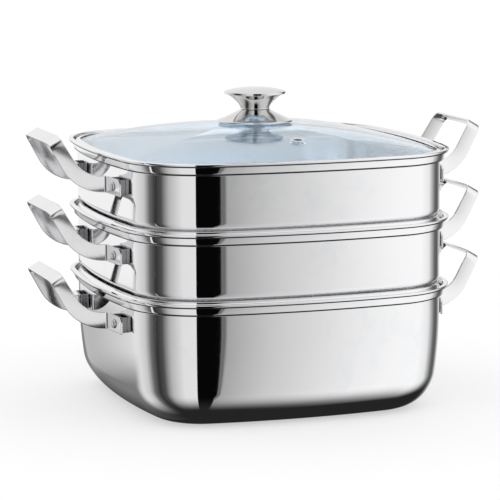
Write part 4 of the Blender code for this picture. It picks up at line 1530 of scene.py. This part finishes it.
@dataclass(frozen=True)
class Knob:
    """Turned steel knob on the middle of the glass, with its screw and washers."""

    lid: Lid = field(default_factory=Lid)
    rest_gap: float = 0.0003
    skirt_radius: float = 0.0347
    skirt_rise: float = 0.0006
    skirt_rim: float = 0.0022
    skirt_sheet: float = 0.0013
    rim_round: float = 0.96
    rim_inner_round: float = 0.5
    rim_return: float = 1.2
    rim_lap: float = 0.6
    boss_radius: float = 0.0085
    neck_radius: float = 0.0134
    neck_rise: float = 0.0125
    neck_blend: float = 0.0013
    grip_radius: float = 0.0272
    grip_rise: float = 0.0272
    flare_shares: tuple[tuple[float, float], ...] = (
        (0.00, 0.08), (0.16, 0.34), (0.52, 0.68), (0.92, 0.94))
    grip_bore: float = 0.0033
    bore_depth: float = 0.0095
    cap_radius: float = 0.0283
    cap_drop: float = 0.0009
    cap_edge: float = 0.0012
    cap_crown: float = 0.0036
    cap_round: float = 0.0006
    cap_land: float = 0.0001
    crown_share: float = 0.97
    crown_power: float = 2.6
    crown_rings: int = 16
    screw_radius: float = 0.003
    screw_bore: float = 0.0036
    screw_reach: float = 0.020
    head_radius: float = 0.0058
    head_height: float = 0.003
    head_round: float = 0.0012
    screw_rounds: tuple[float, float, float] = (0.0004, 0.0001, 0.0002)
    sides: int = 120
    seal_radius: float = 0.0105
    seal_thickness: float = 0.001
    washer_radius: float = 0.0095
    washer_thickness: float = 0.0012

    @property
    def place(self) -> Matrix:
        """Matrix from the knob's foot to the frame."""
        return Matrix.Translation((0, 0, self.lid.crown))

    def skirt(self) -> np.ndarray:
        """Loop of the skirt: cone with a rolled rim, and the boss on the seal."""
        foot = self.skirt_rise + self.skirt_rim
        rim = self.skirt_rim / 2
        inner = self.skirt_radius - self.skirt_rim
        under = self.neck_rise - self.neck_blend - self.skirt_sheet
        boss = self.rest_gap + self.seal_thickness + self.rest_gap
        corners = [
            (self.grip_bore, self.neck_rise), (self.neck_radius, self.neck_rise),
            (self.neck_radius + self.neck_blend, self.neck_rise - self.neck_blend),
            (inner, foot), (self.skirt_radius, foot),
            (self.skirt_radius, self.skirt_rise), (inner, self.skirt_rise),
            (self.skirt_radius - self.rim_return * self.skirt_rim, foot - self.skirt_sheet * self.rim_lap),
            (self.neck_radius, under), (self.boss_radius, under), (self.boss_radius, boss),
            (self.grip_bore, boss)]
        small = self.neck_blend / 4
        outer_round, inner_round = rim * self.rim_round, rim * self.rim_inner_round
        radii = [small, small * 2, self.neck_blend * 2, small * 3, outer_round, outer_round,
                 inner_round, small, small * 2, small, small, small]
        return round_loop(corners, radii)

    def grip(self) -> np.ndarray:
        """Profile of the waisted grip: a smooth flare through its shares."""
        bottom = self.neck_rise + self.rest_gap
        height, flare = self.grip_rise - bottom, self.grip_radius - self.neck_radius
        shares = np.array(self.flare_shares[::-1] + ((0.0, 0.0),))
        points = np.stack([self.neck_radius + flare * shares[:, 0], bottom + height * shares[:, 1]], 1)
        curve = flowing(points)
        head = round_corners(
            [(0, self.grip_rise), (self.grip_radius, self.grip_rise), curve[0]], [self.cap_round])
        bore_top = bottom + self.bore_depth
        foot = np.array([(self.grip_bore, bottom), (self.grip_bore, bore_top), (0, bore_top)])
        return np.concatenate([head[:-1], curve, foot])

    def cap(self) -> np.ndarray:
        """Profile of the cap: it falls by a power of the radius, to a rounded edge and a lip."""
        inner = self.grip_rise + self.rest_gap
        top = inner + self.cap_edge
        share = np.linspace(0, self.crown_share, self.crown_rings)
        rise = self.cap_crown * (1 - share ** self.crown_power)
        crown = np.stack([self.cap_radius * share, top + rise], 1)
        land = self.cap_land
        skin = self.grip_radius + self.rest_gap
        edge = round_corners(
            [crown[-1], (self.cap_radius, top + land), (self.cap_radius, inner - self.cap_drop),
             (skin, inner - self.cap_drop), (skin, inner), (0, inner)],
            [self.cap_round, self.cap_round / 2, land, land], rest=land)
        return np.concatenate([crown[:-1], edge])

    def washer(self, bore: float, radius: float, top: float, thickness: float) -> np.ndarray:
        """Loop of a washer with softened edges."""
        corners = [(bore, top), (radius, top), (radius, top - thickness), (bore, top - thickness)]
        return round_loop(corners, [thickness / 4] * 4, rest=thickness / 8)

    def build(self, finishes: Finishes) -> None:
        """Make the knob from the seal on the glass up, and what is under the glass.

        Args:
            finishes: The steamer's materials.
        """
        body, place = self.lid.body, self.place
        outer_seal = self.washer(
            self.screw_bore, self.seal_radius, self.rest_gap + self.seal_thickness, self.seal_thickness)
        piece = turned("knob_seal", outer_seal, finishes.silicone, place, closed=True)
        seat(piece, body, "silicone", "knob_gasket")
        piece = turned("knob_cone", self.skirt(), finishes.knob, place, self.sides, closed=True)
        seat(piece, body, "knob_steel", "knob_skirt")
        piece = turned("knob_waist", self.grip(), finishes.knob, place, self.sides)
        seat(piece, body, "knob_steel", "knob_grip")
        piece = turned("knob_crown", self.cap(), finishes.knob, place, self.sides)
        seat(piece, body, "knob_steel", "knob_cap")
        seal_top = -self.lid.glass - self.rest_gap
        inner_seal = self.washer(self.screw_bore, self.seal_radius, seal_top, self.seal_thickness)
        piece = turned("under_seal", inner_seal, finishes.silicone, place, closed=True)
        seat(piece, body, "silicone", "inner_gasket")
        washer_top = seal_top - self.seal_thickness - self.rest_gap
        disc = self.washer(self.screw_bore, self.washer_radius, washer_top, self.washer_thickness)
        piece = turned("under_washer", disc, finishes.rivet, place, closed=True)
        seat(piece, body, "rivet_steel", "inner_washer")
        head_top = washer_top - self.washer_thickness - self.rest_gap
        head_bottom = head_top - self.head_height
        screw = round_corners(
            [(0, self.screw_reach), (self.screw_radius, self.screw_reach),
             (self.screw_radius, head_top), (self.head_radius, head_top),
             (self.head_radius, head_bottom), (0, head_bottom)],
            [*self.screw_rounds, self.head_round])
        piece = turned("fixing_screw", screw, finishes.rivet, place)
        seat(piece, body, "rivet_steel", "knob_screw")


@dataclass(frozen=True)
class Flag:
    """Card in front of the studio wall: its azimuths, elevations and level."""

    start: float
    end: float
    level: float
    low: float
    high: float
    soft: float = 0.3
    soft_rise: float = 3.0


@dataclass(frozen=True)
class Studio:
    """White studio: floor, surrounding boards and flags, and the camera.

    Azimuths are in degrees from -Y, positive towards +X, and the camera's own angles
    are in radians. Metal sees the boards all round it, each a level at an azimuth with
    a blend to the next, the flags in front of them, a white ceiling and a dark table.
    The cards' spans are heights from each vessel's lip.
    """

    boards: tuple[tuple[float, float], ...] = (
        (-180.0, 0.95), (-148.0, 1.00), (-126.0, 0.80), (-112.0, 0.66), (-100.0, 0.16),
        (-89.0, 0.035), (-78.0, 0.09), (-65.0, 0.52), (-45.0, 0.84), (-24.5, 0.86),
        (4.4, 0.42), (8.0, 0.53), (13.5, 0.67), (20.0, 0.78), (30.0, 0.96), (38.0, 1.06),
        (75.0, 1.08), (95.0, 0.92), (104.0, 0.50), (114.0, 0.16), (125.0, 0.10),
        (140.0, 0.60), (150.0, 0.90), (180.0, 0.95))
    flags: tuple[Flag, ...] = (
        Flag(-215.0, -150.0, 0.52, -100.0, -9.7, 25.0, 0.5),
        Flag(167.0, 215.0, 0.25, -100.0, -9.0, 7.0, 1.0),
        Flag(-215.0, -140.0, 0.22, -100.0, -15.5, 15.0, 2.5),
        Flag(-24.5, 3.5, 0.002, -100.0, 50.0, soft_rise=8.0),
        Flag(3.5, 4.3, 0.155, -100.0, 50.0, soft_rise=8.0))
    ceiling: float = 1.0
    ceiling_from: float = 32.0
    ceiling_to: float = 55.0
    table: float = 0.02
    near_from: float = -30.0
    near_to: float = -74.0
    far_from: float = -16.0
    far_to: float = -34.0
    far_start: tuple[float, float] = (58.0, 125.0)
    far_end: tuple[float, float] = (182.0, 170.0)
    inner_depth: float = 2.5
    inner_light: float = 1.5
    inner_room: float = 0.8
    floor_colour: tuple[float, float, float] = (0.50, 0.50, 0.50)
    floor_lift: float = 0.53
    floor_reach: float = 8.0
    card_level: float = 0.85
    card_span: tuple[float, float] = (-0.046, 0.002)
    bar_level: float = 0.04
    bar_span: tuple[float, float] = (0.002, 0.0152)
    card_left: float = -0.215
    card_right: float = -0.145
    card_ahead: float = -0.1187
    shade_half: float = 0.165
    shade_fade: float = 0.116
    shade_depth: float = 0.0001
    azimuth: float = math.radians(-18.726)
    elevation: float = math.radians(8.780)
    roll: float = math.radians(-0.2065)
    look_at: tuple[float, float, float] = (-0.00531, 0.0, 0.13598)
    distance: float = 2.4695
    lens: float = 191.98
    sensor: float = 36.0

    def camera(self) -> None:
        """Set the camera at the photograph's angle.

        It stands back along (sin az cos el, -cos az cos el, sin el) from its target,
        and is rolled about that line.
        """
        azimuth, elevation = self.azimuth, self.elevation
        back = Vector((math.sin(azimuth) * math.cos(elevation),
                       -math.cos(azimuth) * math.cos(elevation), math.sin(elevation)))
        right = (-back).cross(Vector((0, 0, 1))).normalized()
        up = right.cross(-back)
        level = right * math.cos(self.roll) + up * math.sin(self.roll)
        above = up * math.cos(self.roll) - right * math.sin(self.roll)
        turn = Matrix((level, above, back)).transposed().to_4x4()
        data = bpy.data.cameras.new("camera")
        data.lens = self.lens
        data.sensor_width = self.sensor
        camera = bpy.data.objects.new("camera", data)
        place = Vector(self.look_at) + back * self.distance
        camera.matrix_world = Matrix.Translation(place) @ turn
        bpy.context.scene.collection.objects.link(camera)
        bpy.context.scene.camera = camera

    def wall(self, nodes: Nodes, azimuth: bpy.types.NodeSocket) -> bpy.types.NodeSocket:
        """Level of the boards at each azimuth, as a colour ramp.

        Args:
            nodes: Nodes of the world.
            azimuth: Azimuth in degrees.

        Returns:
            The level.
        """
        ramp = nodes.add("ShaderNodeValToRGB")
        elements = ramp.color_ramp.elements
        for angle, level in self.boards[1:-1]:
            elements.new(angle / 360 + 0.5).color = (level, level, level, 1.0)
        for element, (_, level) in zip((elements[0], elements[-1]), (self.boards[0], self.boards[-1])):
            element.color = (level, level, level, 1.0)
        nodes.put(nodes.math("ADD", nodes.math("DIVIDE", azimuth, 360.0), 0.5), ramp.inputs[0])
        return ramp.outputs[0]

    def surround(self) -> None:
        """Make the world: what metal sees by direction, and plain white for the rest.

        Azimuth is the arc tangent of x over -y, and elevation the arc sine of z. The
        table starts lower in front than behind on the right. What is seen through the
        lid and out again takes a share of the boards' levels, and counts more where it
        is low, as from softboxes all round.
        """
        world = bpy.data.worlds.new("studio")
        world.use_nodes = True
        bpy.context.scene.world = world
        nodes = Nodes(world.node_tree)
        split = nodes.add("ShaderNodeSeparateXYZ")
        nodes.put(nodes.add("ShaderNodeTexCoord").outputs["Generated"], split.inputs[0])
        x, y, z = split.outputs
        turn = nodes.math("ARCTAN2", x, nodes.math("MULTIPLY", y, -1.0))
        azimuth = nodes.math("DEGREES", turn)
        rise = nodes.math("DEGREES", nodes.math("ARCSINE", z))
        level = self.wall(nodes, azimuth)
        for flag in self.flags:
            soft, tilt = flag.soft, flag.soft_rise
            across = nodes.math(
                "MULTIPLY", nodes.smooth(azimuth, flag.start - soft, flag.start + soft),
                nodes.smooth(azimuth, flag.end + soft, flag.end - soft))
            upright = nodes.math(
                "MULTIPLY", nodes.smooth(rise, flag.low - tilt, flag.low + tilt),
                nodes.smooth(rise, flag.high + tilt, flag.high - tilt))
            card = nodes.math("MULTIPLY", across, upright)
            level = nodes.mix(card, level, (flag.level, flag.level, flag.level, 1.0))
        above = nodes.smooth(rise, self.ceiling_from, self.ceiling_to)
        level = nodes.mix(above, level, (self.ceiling, self.ceiling, self.ceiling, 1.0))
        far = nodes.math(
            "MULTIPLY", nodes.smooth(azimuth, *self.far_start), nodes.smooth(azimuth, *self.far_end))
        start = nodes.mix(far, self.near_from, self.far_from, "FLOAT")
        end = nodes.mix(far, self.near_to, self.far_to, "FLOAT")
        below = nodes.smooth(rise, start, end)
        room = nodes.mix(below, level, (self.table, self.table, self.table, 1.0))
        paths = nodes.add("ShaderNodeLightPath").outputs
        mirrored = nodes.math("SUBTRACT", paths["Is Glossy Ray"], paths["Is Transmission Ray"], True)
        inside = nodes.math("GREATER_THAN", paths["Transmission Depth"], self.inner_depth)
        sideways = nodes.math("MULTIPLY", inside, nodes.math("SUBTRACT", 1.0, above))
        lit = nodes.math("ADD", nodes.math("MULTIPLY", sideways, self.inner_light), 1.0)
        nodes.put(lit, world.node_tree.nodes["Background"].inputs["Strength"])
        share = nodes.math("MULTIPLY", inside, self.inner_room)
        through = nodes.mix(share, (1.0, 1.0, 1.0, 1.0), level)
        colour = nodes.mix(mirrored, through, room)
        nodes.put(colour, world.node_tree.nodes["Background"].inputs["Color"])

    def panel(self, name: str, corners: list[tuple[float, float, float]]) -> tuple:
        """Flat stage panel with a matt material of its own.

        Args:
            name: Name of the panel.
            corners: Its corners in order.

        Returns:
            The object, its material's nodes and its shader.
        """
        mesh = bpy.data.meshes.new(name)
        mesh.from_pydata(corners, [], [tuple(range(len(corners)))])
        panel = bpy.data.objects.new(name, mesh)
        bpy.context.scene.collection.objects.link(panel)
        material, nodes, shader = new_material(name)
        mesh.materials.append(material)
        shader.inputs["Roughness"].default_value = 1.0
        shader.inputs["Specular IOR Level"].default_value = 0.0
        shader.inputs["Emission Color"].default_value = (1.0, 1.0, 1.0, 1.0)
        return panel, nodes, shader

    def floor(self) -> None:
        """Make the pale floor, which keeps the steamer's soft shadow."""
        reach = self.floor_reach
        corners = [(-reach, -reach, 0), (reach, -reach, 0), (reach, reach, 0), (-reach, reach, 0)]
        floor, nodes, shader = self.panel("floor", corners)
        shader.inputs["Base Color"].default_value = (*self.floor_colour, 1.0)
        paths = nodes.add("ShaderNodeLightPath")
        seen = nodes.math("MAXIMUM", paths.outputs["Is Camera Ray"], paths.outputs["Is Transmission Ray"])
        nodes.put(nodes.math("MULTIPLY", seen, self.floor_lift), shader.inputs["Emission Strength"])
        floor.visible_glossy = False

    def cards(self) -> None:
        """Make a pale card and a dark bar for the near arm of each left handle to mirror."""
        left, right, ahead = self.card_left, self.card_right, self.card_ahead
        for vessel in Vessel:
            for name, level, span in (
                    ("card", self.card_level, self.card_span), ("bar", self.bar_level, self.bar_span)):
                low, high = (vessel.lip + height for height in span)
                corners = [
                    (left, ahead, low), (right, ahead, low), (right, ahead, high), (left, ahead, high)]
                self.mirrored_only(f"{vessel.value}_handle_{name}", corners, level)

    def shade(self) -> None:
        """Make the dark patch under the pot that its rounded edge mirrors.

        It fades towards its edge by the fourth root of x to the fourth plus y to the
        fourth, whose contours are rounded squares like the pot's.
        """
        outline = PLAN.outline(self.shade_half)[0]
        level = np.full((len(outline), 1), -self.shade_depth)
        corners = np.concatenate([outline, level], 1).tolist()
        nodes, shader = self.mirrored_only("contact_shade", corners, self.table)
        split = nodes.add("ShaderNodeSeparateXYZ")
        nodes.put(nodes.add("ShaderNodeTexCoord").outputs["Object"], split.inputs[0])
        fourths = [nodes.math("POWER", nodes.math("ABSOLUTE", axis), 4.0) for axis in split.outputs[:2]]
        reach = nodes.math("POWER", nodes.math("ADD", *fourths), 0.25)
        nodes.put(nodes.smooth(reach, self.shade_half, self.shade_fade), shader.inputs["Alpha"])

    def mirrored_only(self, name: str, corners: list, level: float) -> tuple:
        """Make a panel of one level that only polished metal sees.

        Args:
            name: Name of the panel.
            corners: Its corners in order.
            level: How bright it is.

        Returns:
            Its material's nodes and its shader.
        """
        panel, nodes, shader = self.panel(name, corners)
        shader.inputs["Base Color"].default_value = (0.0, 0.0, 0.0, 1.0)
        shader.inputs["Emission Strength"].default_value = level
        panel.visible_camera = False
        panel.visible_diffuse = False
        panel.visible_transmission = False
        panel.visible_shadow = False
        return nodes, shader

    def build(self) -> None:
        """Make the camera, the surround, the floor, the cards and the shade."""
        self.camera()
        self.surround()
        self.floor()
        self.cards()
        self.shade()
        bpy.context.scene.view_settings.view_transform = "Standard"


def main() -> None:
    """Build the steamer from the pot up, then the studio round it."""
    logging.basicConfig(level=logging.INFO, format="%(name)s: %(message)s")
    finishes = Finishes()
    PotShell(Vessel.POT).build(finishes)
    TierShell(Vessel.LOWER_TIER).build(finishes)
    TierShell(Vessel.UPPER_TIER).build(finishes)
    for vessel in Vessel:
        for side in Side:
            Handle(vessel, side).build(finishes)
    Lid().build(finishes)
    Knob().build(finishes)
    Studio().build()


if __name__ == "__main__":
    main()
